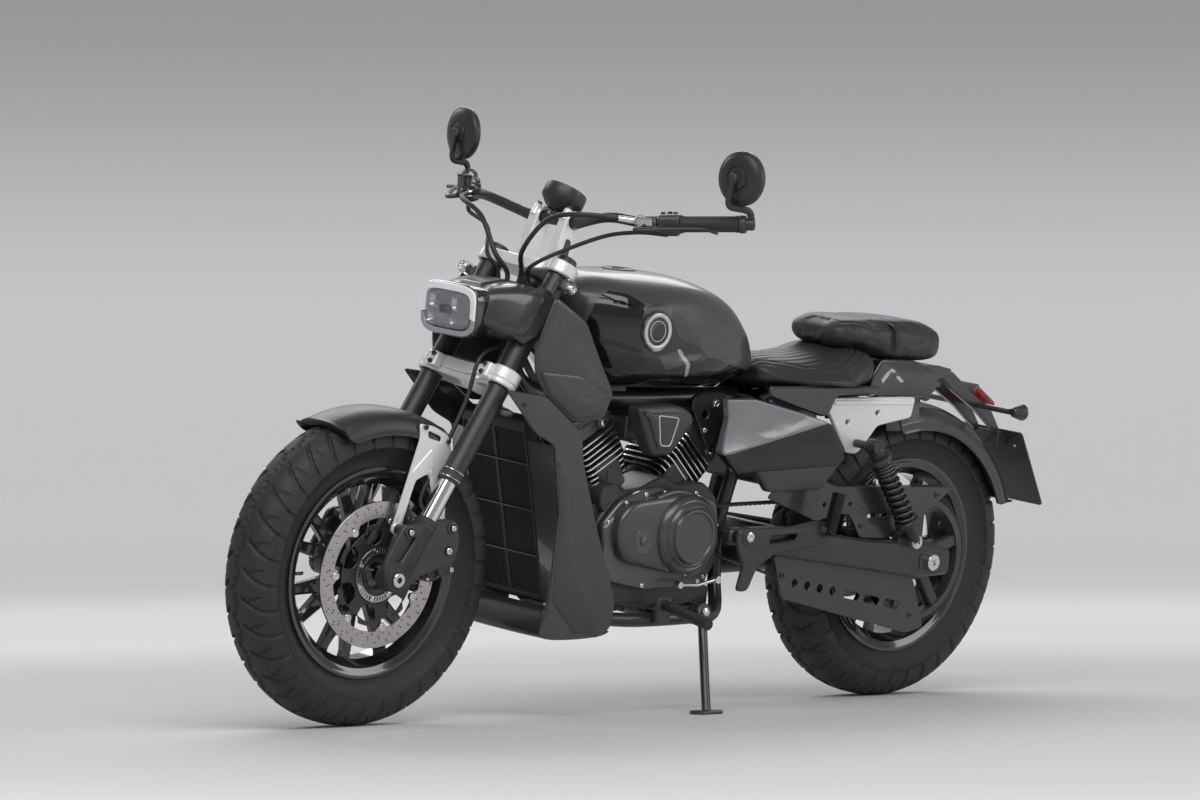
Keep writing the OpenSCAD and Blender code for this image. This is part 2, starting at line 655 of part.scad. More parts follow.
// pocket for the belt's front end, in the case and under its cover
module belt_pocket() {
    plate([[-200, 344], [-60, 344], [-30, 380], [-30, 436], [-60, 470], [-200, 470]],
          belt_y - 4, 112 - belt_y + 4);
}
belt_front = [-86, 408];
belt_front_r = 40;
module engine_covers() {
    color("#3c3d3f") {
        // left: alternator cover, gearbox cover behind and the drive cover's edge
        difference() {
            plate([[196, 316], [182, 300], [60, 276], [-104, 284], [-138, 326], [-142, 400],
                   [-128, 462], [-40, 490], [60, 500], [150, 470], [196, 420]], 98.3, 14);
            belt_pocket();
        }
        bar_y([96, 400], 84, 112, 26);
        bar_y([-25, 397], 88, 112, 44);
        bar_y([-25, 397], 60, 155.9, 8);
        // right: clutch cover and timing cover
        plate([[196, 316], [182, 300], [60, 276], [-104, 284], [-138, 326], [-138, 440],
               [-40, 490], [60, 500], [150, 470], [196, 420]], -112.3, 14);
        bar_y([-40, 390], 96, -150, 38);
        bar_y([96, 400], 70, -138, 26);
    }
}
module one_cylinder() {
    // along Z from the crank's centre, fore and aft along X
    translate([0, 0, deck]) cylinder(r = 56, h = 142);
    for (i = [0:8]) translate([0, 0, 118 + 13 * i]) linear_extrude(5)
        polygon([[-66, -50], [-50, -72], [50, -72], [66, -50], [66, 50], [50, 72], [-50, 72], [-66, 50]]);
    translate([-56, -62, 232]) cube([112, 124, 30]);
    translate([-42, -50, 261]) cube([84, 100, 18]);
}
module cylinders() {
    color("#17181a") {
        difference() {
            for (a = [front_lean, rear_lean]) cylinder_frame(a) one_cylinder();
            translate([-150, -32, 641]) cube([420, 64, 60]);
        }
    }
}
module intake_covers() {
    // air cleaner in the vee, with a cover on each side
    color("#2b2c2e") {
        translate([20, -60, 590]) cube([90, 120, 52]);
        both_sides() {
            plate([[172, 672], [48, 672], [-36, 640], [68, 567], [114, 567]], 118, 44);
            plate([[110, 660], [60, 660], [56, 612], [86, 604]], 58, 62);
        }
    }
}
rad_top = [436, 632];
rad_low = [336, 256];
module radiator() {
    color("#0e0f10") {
        hw = radiator_w / 2;
        plate([rad_top, rad_top + [-3, 10], rad_top + [-30, 17], rad_top + [-34, 7],
               rad_low + [-34, 7], rad_low], -hw, radiator_w);
        for (p = [[388, 540], [334, 300]]) bar_y(p, 6, -cowl_y + 0.2, 2 * cowl_y - 0.4);
    }
}
cowl_y = fork_y + 53;         // inner faces of the covers beside the fork
module radiator_cowl() {
    color("#1c1d1e") {
        both_sides() {
            plate([[552, 712], [459, 621], [403, 600], [372, 452], [376, 262], [398, 196], [229, 190],
                   [196, 212], [190, 262], [262, 420], [318, 560], [330, 623], [361, 644.7],
                   [440, 699.6]], cowl_y, 6);
            bar_y([236, 330], 9, rail_y + frame_r + 0.3, cowl_y - rail_y - frame_r + 1);
        }
        // scoop below the radiator
        plate([[366, 250], [392, 200], [229, 192], [200, 196], [206, 200], [232, 199], [372, 208],
               [346, 250]], -cowl_y - 1, 2 * cowl_y + 2);
    }
}
module side_shrouds() {
    // covers beside the tank's front, below the bars
    color("#2a2b2d") both_sides() {
        plate([[438, 904], [482, 790], [472, 742], [440, 700], [361, 645], [274, 650], [252, 703],
               [300, 776], [345, 851]], cowl_y, 10);
        bar_y([272, 720], 10, 110, cowl_y - 109);
    }
}
tank_seat = 699.2;      // height of the tank's rubber seat on the backbone
module fuel_tank() {
    w = tank_w / 2;
    top = tank_top;
    color("#212223") loft([for (r = [[300, 0.36, 770, -54], [280, 0.60, 742, -24], [240, 0.84, 712, -8],
        [190, 0.98, 702, -2], [107, 1, 700, 0], [20, 0.98, 698, -6], [-60, 0.90, 699, -24],
        [-128, 0.78, 704, -52], [-180, 0.62, 712, -94], [-214, 0.48, 722, -136], [-236, 0.34, 732, -176]])
        body_ring(r[0], w * r[1], r[2], top + r[3], 0.72, 28)]);
}
module rider_seat() {
    w = seat_w / 2;
    color("#1c1c1d") loft([for (r = [[-242, 0.52, 716.3, 752], [-258, 0.64, 716.3, 762],
        [-300, 0.76, 716.3, 766], [-370, 0.92, 716.3, 768], [-440, 1, 716.3, 778], [-500, 0.98, 716.3, 786], [-540, 0.90, 716.3, 788],
        [-568, 0.74, 718, 782], [-584, 0.56, 726, 766]])
        body_ring(r[0], w * r[1], r[2], r[3], 0.55, 28)]);
}
module pillion_seat() {
    w = pillion_w / 2;
    color("#1c1c1d") loft([for (r = [[-474, 0.60, 804, 828], [-500, 0.82, 794, 842],
        [-560, 0.98, 790, 848], [-592, 1, 789, 850], [-597, 1, 752.3, 850], [-680, 1, 752.3, 850],
        [-760, 0.94, 752.3, 842], [-800, 0.80, 756, 836], [-822, 0.54, 768, 826]])
        body_ring(r[0] + tail_x, w * r[1], r[2], r[3], 0.6, 28)]);
}
module tail_cowl() {
    color("#232426") translate([tail_x, 0, 0]) {
        both_sides() plate([[-590, 752], [-820, 766], [-846, 740], [-764, 706], [-640, 694],
                            [-590, 706]], 84, 14);
        plate([[-588, 752], [-588, pan_z], [-800, pan_z], [-846, 728], [-846, 744], [-800, 752]], -85, 170);
    }
}
function bracket_holes() = [[-505, 630], [-596, 650]];
module fender_brackets() {
    color("#e4e4e2") translate([tail_x, 0, 0]) both_sides() difference() {
        plate([[-424, 672], [-430, 684], [-699, 684], [-690, 640], [-590, 626], [-552, 572],
               [-536, 560], [-508, 562]], strut_y, 12);
        for (p = bracket_holes()) bar_y(p, 5.5, strut_y - 10, 40);
    }
}
shock_top = [-536 + tail_x, 584];
shock_low = [-694 + tail_x, 372];
shock_y = arm_y + arm_t + 16;
module rear_shocks() {
    d = [shock_low[0] - shock_top[0], shock_low[1] - shock_top[1]];
    l = norm(d);
    both_sides() {
        color("#16181a") translate([shock_top[0], shock_y, shock_top[1]])
            rotate([0, 180 + atan2(-d[0], -d[1]), 0]) {
            cylinder(r = 18, h = 50);
            translate([0, 0, 24]) cylinder(r = 28, h = 12);
            translate([0, 0, 30]) cylinder(r = 24, h = l - 80);
            translate([0, 0, l - 62]) cylinder(r = 28, h = 12);
            translate([0, 0, l - 60]) cylinder(r = 15, h = 60);
        }
        color("#16181a") {
            bar_y(shock_top, 17, shock_y - 16, 32);
            bar_y(shock_low, 15, arm_y + arm_t + 0.2, 24);
            bar_y(shock_top, 9, strut_y + 12, shock_y - strut_y - 20);
        }
    }
}
module side_covers() {
    both_sides() color("#2c2d2f") {
        plate([[-92, 686], [-328, 656], [-457, 573], [-440, 541], [-139, 533], [-86, 576],
               [-103, 682]], 136, 22);
        plate([[-200, 535], [-441, 543], [-452, 514], [-406, 514], [-234, 512]], 136, 18);
        for (p = [[-300, 620], [-400, 560]]) bar_y(p, 10, 92, 45);
    }
}

// --- Rear end -------------------------------------------------------------------------------

module rear_axle() {
    color("#9a9a9a") at_axle([rear_axle[0], arm_y + arm_t + 13, rear_axle[2]]) difference() {
        union() {
            cylinder(d = rear_axle_d, h = 2 * (arm_y + arm_t + 13));
            for (z = [0, 2 * (arm_y + arm_t) + 13]) translate([0, 0, z]) cylinder(r = 18, h = 13);
            translate([0, 0, 13 + arm_t + 0.2]) cylinder(r = 16, h = arm_y - belt_y - belt_w - 2 - 0.7);
            translate([0, 0, 13 + arm_t + arm_y - rear_disc_y + 0.5])
                cylinder(r = 16, h = arm_y + rear_disc_y - 0.7);
        }
        translate([0, 0, -1]) cylinder(r = 7, h = 31);
    }
}
module loop2d(ra, rb) {
    // outline round the rear pulley (radius ra, at the origin) and the front one (radius rb)
    hull() {
        circle(r = ra, $fn = 96);
        translate([belt_front[0] - rear_axle[0], belt_front[1] - rear_axle[2]]) circle(r = rb, $fn = 48);
    }
}
module drive_belt() {
    color("#121212") at_axle([rear_axle[0], belt_y + belt_w, rear_axle[2]])
        linear_extrude(belt_w) difference() {
            loop2d(pulley_r + belt_gap + 5.5, belt_front_r + 5.5);
            loop2d(pulley_r + belt_gap, belt_front_r);
        }
}
module belt_guards() {
    color("#202123") {
        // upper guard, on the arm and over the belt
        plate([[-262, 470], [-300, 505], [-420, 510], [-470, 492], [-800 + tail_x, 486],
               [-842 + tail_x, 482], [-726 + tail_x, 404], [-690 + tail_x, 404],
               [-640 + tail_x, 371.8], [-560 + tail_x, 376.3], [-520 + tail_x / 2, 430], [-470, 430],
               [-420, 415]], arm_y, 4);
        plate([[-262, 470], [-300, 505], [-420, 510], [-470, 492], [-800 + tail_x, 486],
               [-800 + tail_x, 482], [-470, 488], [-420, 506], [-300, 501], [-266, 470]],
              arm_y - 29, 30);
        // lower guard
        plate([[-300, 345.7], [-336, 249], [-600, 190], [-735 + tail_x, 160], [-790 + tail_x, 172],
               [-740 + tail_x, 287.7]], arm_y, 4);
    }
}
module rear_fender() {
    color("#17181a") {
        arch(rear_axle, 74, 158, rear_arch, fender_y, fender_t, 54);
        both_sides() translate([tail_x, 0, 0])
            plate([[-690, 606], [-640, 606], [-640, 688], [-740, 688], [-740, 606]],
                  fender_y + 0.5, fender_t - 0.5 - eps);
    }
}
module tail_lamp() {
    translate([tail_x, 0, 0]) {
        color("#7a1712") plate([[-968, 685.2], [-1036, 642.7], [-1046, 660], [-976, 704]], -46, 92);
        color("#c9863a") both_sides() translate([-984, 150, 655]) rotate([0, -84, 0]) {
            translate([0, 0, -22]) cylinder(r1 = 10, r2 = 19, h = 30);
            translate([0, 0, 8]) cylinder(r1 = 19, r2 = 15, h = 8);
        }
        color("#17181a") both_sides() bar_y([-984, 655], 7, 38.2, 103.8);
    }
}
plate_top = [-1076 + tail_x, 600];
plate_low = [rear_axle[0] - tail_end, 432];
module plate_holder() {
    holder = [plate_low[0] - plate_top[0], plate_low[1] - plate_top[1]];
    a = atan2(-holder[0], -holder[1]);
    color("#151617") {
        both_sides() translate([tail_x, 0, 0])
            plate([[-846.2, 744], [-846.2, 730], [-900, 690], [-990, 640], [-1050, 596], [-1068, 580],
                   [-1068, 604], [-1040, 640], [-960, 690], [-900, 730]], 24, 14);
        translate([plate_top[0], 0, plate_top[1]]) rotate([0, 180 + a, 0]) difference() {
            translate([0, -plate_w / 2, 0]) cube([4, plate_w, norm(holder)]);
            // the bolt holes, chamfered at both faces
            for (s = [-1, 1]) translate([0, s * plate_w * 0.32, 40 + s / 2]) rotate([0, 90, 0]) {
                translate([0, 0, -1]) cylinder(r = 3.5, h = 6);
                translate([0, 0, -0.01]) cylinder(r1 = 4.11, r2 = 3.5, h = 0.61);
                translate([0, 0, 3.4]) cylinder(r1 = 3.5, r2 = 4.11, h = 0.61);
            }
        }
        translate([tail_x, 0, 0])
            plate([[-1060, 566], [-1060, 596], [-1077.8, 596], [-1094.6, 566]], -44, 88);
    }
}
pipe_y = rail_y + 62;         // distance of the pipes from the middle, on the right
muffler_at = [-176, 284];     // the muffler's front end
module exhaust() {
    mr = muffler_d / 2;
    my = arm_y + arm_t + mr + 18;
    head = 72.2;               // the cylinders' sides
    color("#2e2f31") {
        translate([muffler_at[0], -my, muffler_at[1]]) rotate([0, -88.5, 0]) {
            cylinder(r1 = 28, r2 = mr, h = 90);
            translate([0, 0, 90 - eps]) cylinder(r = mr, h = 480);
            translate([0, 0, 569]) cylinder(r1 = mr, r2 = mr - 16, h = 34);
        }
        tube(concat([[186, -head, 544]], spline([[186, -head - 12, 544], [186, -head - 34, 544],
              [206, -head - 74, 500], [210, -pipe_y, 440], [190, -pipe_y, 360], [120, -pipe_y, 306],
              [0, -pipe_y, 298], [-100, -pipe_y - 8, 290], [muffler_at[0] - 4, -my, muffler_at[1]]], 4)),
              21, ref = [0, 0.3, 1], sides = 14);
        tube(concat([[-62, -head, 524]], spline([[-62, -head - 12, 524], [-62, -head - 34, 524],
              [-52, -head - 80, 516], [-34, -pipe_y - 2, 470], [-14, -pipe_y - 2, 400],
              [-34, -pipe_y - 2, 330], [-90, -pipe_y - 6, 294]], 4)), 19, ref = [0.3, 0, 1], sides = 14);
        // mount on the swingarm's pivot plate
        translate([-250, -my, 318]) cube([30, my - hanger_y - 12.2, 56]);
    }
}
hanger_y = arm_y + arm_t + 10;      // inner face of the footrest hangers
module foot_pegs() {
    color("#2a2b2d") both_sides() {
        // hanger: from the pivot back to the passenger's peg, and down to the frame's rail
        difference() {
            plate([[pivot[0] + 30, pivot[1] + 18], [pivot[0] + 30, pivot[1] - 20], [-166, 330],
                   [-152, 276], [-186, 276], [-210, 330], [-260, 356], [-400, 372], [-440, 400],
                   [-430, 420], [-370, 424], [-300, 414]], hanger_y, 12);
            plate([[-240, 378], [-320, 386], [-320, 398], [-240, 394]], hanger_y - 1, 14);
        }
        bar_y(pivot, 20, arm_y + arm_t + 0.2, hanger_y - arm_y - arm_t + 14);
        // passenger's peg, folded up
        translate([-404, hanger_y + 26, 408]) rotate([0, 12, 0])
            translate([-12, -12, -14]) cube([24, 22, 96]);
        bar_y([-404, 404], 14, hanger_y + 11, 16);
        // rider's peg on its bracket from the frame's rail
        translate([10, rail_y + frame_r + 1, 208]) cube([40, 13.2, 58]);
        translate([30, rail_y + frame_r + 13, 250]) rotate([-98, 0, 0]) cylinder(r = 12, h = 140);
    }
}
module rear_caliper() {
    color("#232425") at_axle([rear_axle[0], rear_disc_y + disc_t + 26, rear_axle[2]])
        rotate([0, 0, 58]) difference() {
            translate([rear_disc_d / 2 - 40, -38, 0])
                cube([54, 76, arm_y + rear_disc_y + disc_t + 25.8]);
            translate([0, 0, 16]) cylinder(r = rear_disc_d / 2 + 6, h = disc_t + 20);
        }
}

// --- Side stand -----------------------------------------------------------------------------

stand_pivot = [-78, rail_y + 30, 232];
stand_reach = [52, 96];             // the foot's centre from the pivot, forward and out
stand_axis = [0, 0.981, 0.192];
module stand_hub() {
    translate(stand_pivot) rotate([-atan2(stand_axis[1], stand_axis[2]), 0, 0]) children();
}
foot_at = [stand_pivot[0] + stand_reach[0], stand_pivot[1] + stand_reach[1]];
foot_t = 8;
module side_stand() {
    color("#1b1c1d") {
        stand_hub() translate([0, 0, -9]) difference() {
            cylinder(r = 19, h = 18);
            translate([0, 0, -1]) cylinder(r = 6.05, h = 20);
        }
        foot = [foot_at[0], foot_at[1], floor_z(foot_at[1]) + foot_t];
        tube([stand_pivot + unit(foot - stand_pivot) * 15, foot - unit(foot - stand_pivot) * 3],
             10, sides = 14);
        translate([foot_at[0], foot_at[1], floor_z(foot_at[1])]) rotate([lean, 0, 0])
            linear_extrude(foot_t)
                polygon([[-30, -20], [30, -20], [38, -8], [34, 22], [-26, 26], [-36, 6]]);
    }
}
module stand_mount() {
    // pin of the side stand and its plate on the frame's left rail
    color("#101112") {
        stand_hub() translate([0, 0, -28]) {
            cylinder(r = 17, h = 18.5);
            cylinder(r = 6, h = 44);
            translate([0, 0, 40]) cylinder(r = 10, h = 5);
        }
        translate([stand_pivot[0] - 34, rail_y - 10, 208]) cube([58, 14, 32]);
    }
}

parked() front_tyre();
parked() front_wheel();
parked() front_brake_disc();
parked() front_axle();
parked() { fork_legs(); fork_lugs(); }
parked() lower_clamp();
parked() upper_clamp();
parked() handlebar();
parked() hand_controls();
parked() mirrors();
parked() headlight();
parked() headlight_cowl();
parked() instrument();
parked() front_fender();
parked() fender_braces();
parked() front_caliper();
parked() { main_frame(); stand_mount(); }
parked() subframe();
parked() swingarm();
parked() crankcase();
parked() engine_covers();
parked() cylinders();
parked() intake_covers();
parked() radiator();
parked() radiator_cowl();
parked() side_shrouds();
parked() fuel_tank();
parked() rider_seat();
parked() pillion_seat();
parked() tail_cowl();
parked() fender_brackets();
parked() rear_shocks();
parked() side_covers();
parked() rear_axle();
parked() drive_belt();
parked() belt_guards();
parked() rear_fender();
parked() tail_lamp();
parked() plate_holder();
parked() exhaust();
parked() foot_pegs();
parked() rear_caliper();
parked() rear_tyre();
parked() rear_wheel();
parked() rear_pulley();
parked() rear_brake_disc();
parked() side_stand();
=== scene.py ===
"""A black V-twin cruiser motorcycle leaning on its side stand, drawn round its CAD nodes.

Every shape is written for the upright machine, in millimetres: x forward from half way between
the axles, y to the rider's left, z up from the ground. piece() leans it over in metres."""

import json
import math

import bpy
import numpy as np
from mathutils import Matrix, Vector
from mathutils.geometry import tessellate_polygon


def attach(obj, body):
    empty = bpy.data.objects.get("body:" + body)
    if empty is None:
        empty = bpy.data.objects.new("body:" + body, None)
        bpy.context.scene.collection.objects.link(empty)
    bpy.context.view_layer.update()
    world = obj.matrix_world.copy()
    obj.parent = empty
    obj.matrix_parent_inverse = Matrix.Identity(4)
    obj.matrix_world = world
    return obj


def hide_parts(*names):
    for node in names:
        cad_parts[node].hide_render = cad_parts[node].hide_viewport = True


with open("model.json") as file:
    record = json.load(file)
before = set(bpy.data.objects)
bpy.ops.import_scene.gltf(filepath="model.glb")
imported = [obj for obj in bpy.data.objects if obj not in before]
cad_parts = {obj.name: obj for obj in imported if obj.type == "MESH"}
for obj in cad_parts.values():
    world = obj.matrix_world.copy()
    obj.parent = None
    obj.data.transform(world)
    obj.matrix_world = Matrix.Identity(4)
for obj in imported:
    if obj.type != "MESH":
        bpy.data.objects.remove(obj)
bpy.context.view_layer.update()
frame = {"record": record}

# --- Tyres ----------------------------------------------------------------------------------
# Tubeless cruiser tyres of black rubber, moulded with slanting shoulder blocks and a zigzag
# centre groove. Each is beaded onto its rim and carries no lettering.
rear_spin = next(j for j in frame["record"]["behaviour"]["joints"] if j["name"] == "rear_wheel_spin")
lean = math.atan2(-rear_spin["axis"][2], rear_spin["axis"][1])
FRONT = np.array([765.0, 0, 320])
REAR = np.array([-765.0, 0, 323])


def leaned(points):
    """Turn about X by the lean: y' = y cos + z sin, z' = z cos - y sin."""
    p = np.asarray(points, float)
    c, s = math.cos(lean), math.sin(lean)
    return np.stack([p[..., 0], p[..., 1] * c + p[..., 2] * s, p[..., 2] * c - p[..., 1] * s], -1)


# The rear axle's place in the record fixes where the upright machine's origin has gone.
parked_at = np.array(rear_spin["pos_m"]) - leaned(0.001 * REAR)


def skin(rings, capped=True, closed=True):
    """Quads between neighbouring rings of equally many points; each end ring is closed by a fan
    of triangles round its mean point."""
    rings = np.asarray(rings, float)
    m, n = rings.shape[:2]
    i, j = np.meshgrid(np.arange(m - 1), np.arange(n if closed else n - 1), indexing="ij")
    k = (j + 1) % n
    quads = np.stack([i * n + j, i * n + k, (i + 1) * n + k, (i + 1) * n + j], -1).reshape(-1, 4)
    verts = rings.reshape(-1, 3)
    if not capped:
        return verts, [quads]
    verts = np.concatenate([verts, rings[0].mean(0)[None], rings[-1].mean(0)[None]])
    a = np.arange(n)
    b = (a + 1) % n
    low = np.stack([np.full(n, m * n), b, a], -1)
    high = np.stack([np.full(n, m * n + 1), (m - 1) * n + a, (m - 1) * n + b], -1)
    return verts, [quads, low, high]


def outward(part):
    """Faces turned round if the closed surface's volume, a sum of signed tetrahedra, is negative."""
    v, faces = part
    volume = 0.0
    for f in faces:
        for i in range(1, f.shape[1] - 1):
            volume += np.einsum("ij,ij->", v[f[:, 0]], np.cross(v[f[:, i]], v[f[:, i + 1]]))
    return (v, faces) if volume > 0 else (v, [f[:, ::-1] for f in faces])


def revolve(profile, centre=(0, 0, 0), n=96, axis=1):
    """(along, radius) points spun about a line through centre along one axis; a profile that
    ends where it starts makes a ring, any other a solid closed at both ends."""
    profile = np.asarray(profile, float)
    a = np.linspace(0, 2 * np.pi, n, endpoint=False)
    u, v = [(1, 2), (0, 2), (0, 1)][axis]
    rings = np.zeros((len(profile), n, 3))
    rings[..., axis] = profile[:, :1]
    rings[..., u] = profile[:, 1:] * np.cos(a)
    rings[..., v] = profile[:, 1:] * np.sin(a)
    ring = np.allclose(profile[0], profile[-1])
    verts, faces = skin(rings[:-1] if ring else rings, capped=not ring)
    if ring:
        m = len(profile) - 1
        j = np.arange(n)
        k = (j + 1) % n
        faces.append(np.stack([(m - 1) * n + j, (m - 1) * n + k, k, j], -1))
    return outward((verts + np.asarray(centre, float), faces))


def finish(name, tone, rough, metal=0.0, grain=400.0, bump=0.05, coat=0.0, blotch=0.18,
           wander=0.08, stretch=(1, 1, 1), worn=None, relief=0.0004, patch=9.0):
    """Painted, cast or moulded surface: the tone varies by a share of blotch in soft patches, the
    roughness wanders with it, fine noise of the given grain per metre lifts the surface, and
    a worn tone shows along convex edges."""
    mat = bpy.data.materials.new(name)
    mat.use_nodes = True
    nodes, links = mat.node_tree.nodes, mat.node_tree.links
    shader = nodes["Principled BSDF"]
    place = nodes.new("ShaderNodeTexCoord")
    spread = nodes.new("ShaderNodeMapping")
    spread.inputs["Scale"].default_value = stretch
    links.new(place.outputs["Object"], spread.inputs["Vector"])
    noise = []
    for scale, detail in ((patch, 5.0), (grain, 3.0)):
        noise.append(nodes.new("ShaderNodeTexNoise"))
        noise[-1].inputs["Scale"].default_value = scale
        noise[-1].inputs["Detail"].default_value = detail
        links.new(spread.outputs["Vector"], noise[-1].inputs["Vector"])
    soft, fine = noise
    mix = nodes.new("ShaderNodeMix")
    mix.data_type = "RGBA"
    tone = np.array(tone, float)
    mix.inputs["A"].default_value = (*(tone * (1 - blotch)), 1)
    mix.inputs["B"].default_value = (*np.minimum(tone * (1 + blotch), 1), 1)
    links.new(soft.outputs["Fac"], mix.inputs["Factor"])
    colour = mix.outputs["Result"]
    if worn is not None:
        shape = nodes.new("ShaderNodeNewGeometry")
        edge = nodes.new("ShaderNodeMapRange")
        edge.inputs["From Min"].default_value = 0.53
        edge.inputs["From Max"].default_value = 0.62
        links.new(shape.outputs["Pointiness"], edge.inputs["Value"])
        rub = nodes.new("ShaderNodeMath")
        rub.operation = "MULTIPLY"
        links.new(edge.outputs["Result"], rub.inputs[0])
        links.new(soft.outputs["Fac"], rub.inputs[1])
        over = nodes.new("ShaderNodeMix")
        over.data_type = "RGBA"
        over.inputs["B"].default_value = (*worn, 1)
        links.new(rub.outputs["Value"], over.inputs["Factor"])
        links.new(colour, over.inputs["A"])
        colour = over.outputs["Result"]
    links.new(colour, shader.inputs["Base Color"])
    level = nodes.new("ShaderNodeMapRange")
    level.inputs["To Min"].default_value = max(rough - wander, 0.02)
    level.inputs["To Max"].default_value = min(rough + wander, 1.0)
    links.new(soft.outputs["Fac"], level.inputs["Value"])
    links.new(level.outputs["Result"], shader.inputs["Roughness"])
    shader.inputs["Metallic"].default_value = metal
    shader.inputs["Coat Weight"].default_value = coat
    shader.inputs["Coat Roughness"].default_value = 0.04
    rise = nodes.new("ShaderNodeBump")
    rise.inputs["Strength"].default_value = bump
    rise.inputs["Distance"].default_value = relief
    links.new(fine.outputs["Fac"], rise.inputs["Height"])
    links.new(rise.outputs["Normal"], shader.inputs["Normal"])
    return mat


def piece(name, parts, material, body, replaces=(), smooth=38):
    """One object from a list of closed surfaces, leaned over with the machine; an edge sharper
    than smooth degrees stays crisp."""
    verts, faces, base = [], [], 0
    for v, groups in parts:
        verts.append(v)
        faces += [row for f in groups for row in (f + base).tolist()]
        base += len(v)
    mesh = bpy.data.meshes.new(name)
    mesh.from_pydata((leaned(0.001 * np.concatenate(verts)) + parked_at).tolist(), [], faces)
    mesh.shade_smooth()
    mesh.set_sharp_from_angle(angle=math.radians(smooth))
    obj = bpy.data.objects.new(name, mesh)
    bpy.context.scene.collection.objects.link(obj)
    obj.data.materials.append(material)
    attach(obj, body)
    if replaces:
        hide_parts(*replaces)
    return obj


def tyre(centre, d, w, rim_w, blocks):
    """A section of two blended curves spun about the axle. Where the angle times the number of
    blocks, skewed by the distance across, falls in a slot, the radius sinks by the tread depth."""
    seat = 203.5
    mid, foot, hw = 101.6 + d / 4, 219.2, rim_w / 2 - 0.3
    low = np.linspace(0, np.pi / 2, 9)
    high = np.linspace(0, np.pi / 2, 27)[1:]
    r = np.concatenate([[seat], foot + (mid - foot) * np.sin(low),
                        mid + (d / 2 - mid) * np.sin(high) ** 0.92])
    y = np.concatenate([[hw], hw + (w / 2 - hw) * (1 - np.cos(low) ** 1.6),
                        w / 2 * np.maximum(np.cos(high), 0) ** 0.78])
    r = np.concatenate([r, r[-2::-1]])
    y = np.concatenate([y, -y[-2::-1]])
    n = blocks * 22
    a = np.linspace(0, 2 * np.pi, n, endpoint=False)
    across = np.where(r > mid, y / (w / 2), np.sign(y) * (1 + (mid - r) / 50))[:, None]
    turn = a[None, :] * blocks / (2 * np.pi)
    side = np.where(across > 0, 0.0, 0.5)
    slot = np.abs((turn + side + 0.9 * np.abs(across)) % 1 - 0.5) < 0.085
    slot &= (np.abs(across) > 0.30) & (np.abs(across) < 1.10)
    short = np.abs((turn * 2 + side + 0.6 - 0.7 * np.abs(across)) % 2 - 0.5) < 0.11
    short &= (np.abs(across) > 0.52) & (np.abs(across) < 0.86)
    wave = 0.10 * (np.abs((turn * 2) % 2 - 1) * 2 - 1)
    groove = np.abs(across - wave) < 0.050
    depth = 5.8 * (slot | groove) + 4.0 * (short & ~slot)
    ribs = 0.6 * (np.abs((r[:, None] - 232) % 14 - 7) < 1.4) * (r < mid - 4)[:, None]
    radius = r[:, None] - depth * np.clip((r[:, None] - mid) / 12, 0, 1)
    wide = y[:, None] * (1 + 0 * a) + np.sign(y)[:, None] * ribs
    wide = wide * (1 - 0.030 * (depth > 0) * (np.abs(across) > 0.9))
    rings = np.stack([radius * np.cos(a), wide, radius * np.sin(a)], -1)
    inner = [(-hw + 12, seat), (-w * 0.40, mid), (0, d / 2 - 18), (w * 0.40, mid), (hw - 12, seat)]
    more = np.array([[[q * math.cos(t), p, q * math.sin(t)] for t in a] for p, q in inner])
    v, f = skin(np.concatenate([rings, more]), capped=False)
    m = len(rings) + len(more)
    j = np.arange(n)
    f.append(np.stack([(m - 1) * n + j, (m - 1) * n + (j + 1) % n, (j + 1) % n, j], -1))
    return outward((v + centre, f))


rubber = finish("tyre_rubber", (0.020, 0.020, 0.0205), 0.62, grain=900, bump=0.35, wander=0.10,
                blotch=0.30, worn=(0.045, 0.045, 0.044), relief=0.0005)
piece("front_tyre_tread", [tyre(FRONT, 640, 130, 76, 34)], rubber, "front_wheel_set",
      ["front_tyre"])
piece("rear_tyre_tread", [tyre(REAR, 646, 150, 102, 34)], rubber, "rear_wheel_set", ["rear_tyre"])

# --- Wheels ---------------------------------------------------------------------------------
# Cast aluminium wheels in gloss black. Seven forked spokes, joined in a U short of the hub,
# run from a round hub to the rim's well, and a brass-stemmed valve stands in a gap.


def rounded(loop, r, steps=4):
    """A 2D outline whose corners become quadratic curves that leave each side r from the corner."""
    p = np.asarray(loop, float)
    before, after = np.roll(p, 1, 0) - p, np.roll(p, -1, 0) - p
    lb, la = np.linalg.norm(before, axis=1)[:, None], np.linalg.norm(after, axis=1)[:, None]
    start, end = p + before / lb * np.minimum(r, lb * 0.45), p + after / la * np.minimum(r, la * 0.45)
    t = np.linspace(0, 1, steps + 1)[None, :, None]
    return ((1 - t) ** 2 * start[:, None] + 2 * t * (1 - t) * p[:, None] + t * t * end[:, None]).reshape(-1,
        2)


def arc(cx, cz, r, start=0.0, end=2 * np.pi, n=16):
    """Points of a circle, without its last one, or of an arc in the side plane."""
    a = np.linspace(start, end, n, endpoint=abs(end - start) < 6.28)
    return np.stack([cx + r * np.cos(a), cz + r * np.sin(a)], -1)


def inset(loop, d):
    """Each corner of a 2D loop moved inwards along its bisector so that every side shifts by d."""
    p = np.asarray(loop, float)
    nxt = np.roll(p, -1, 0)
    area = np.sum(p[:, 0] * nxt[:, 1] - nxt[:, 0] * p[:, 1])
    e = nxt - p
    e /= np.maximum(np.linalg.norm(e, axis=1), 1e-9)[:, None]
    normal = np.stack([-e[:, 1], e[:, 0]], -1) * np.sign(area)
    pair = normal + np.roll(normal, 1, 0)
    return p + pair / np.maximum(np.sum(pair * pair, 1), 0.7)[:, None] * 2 * d


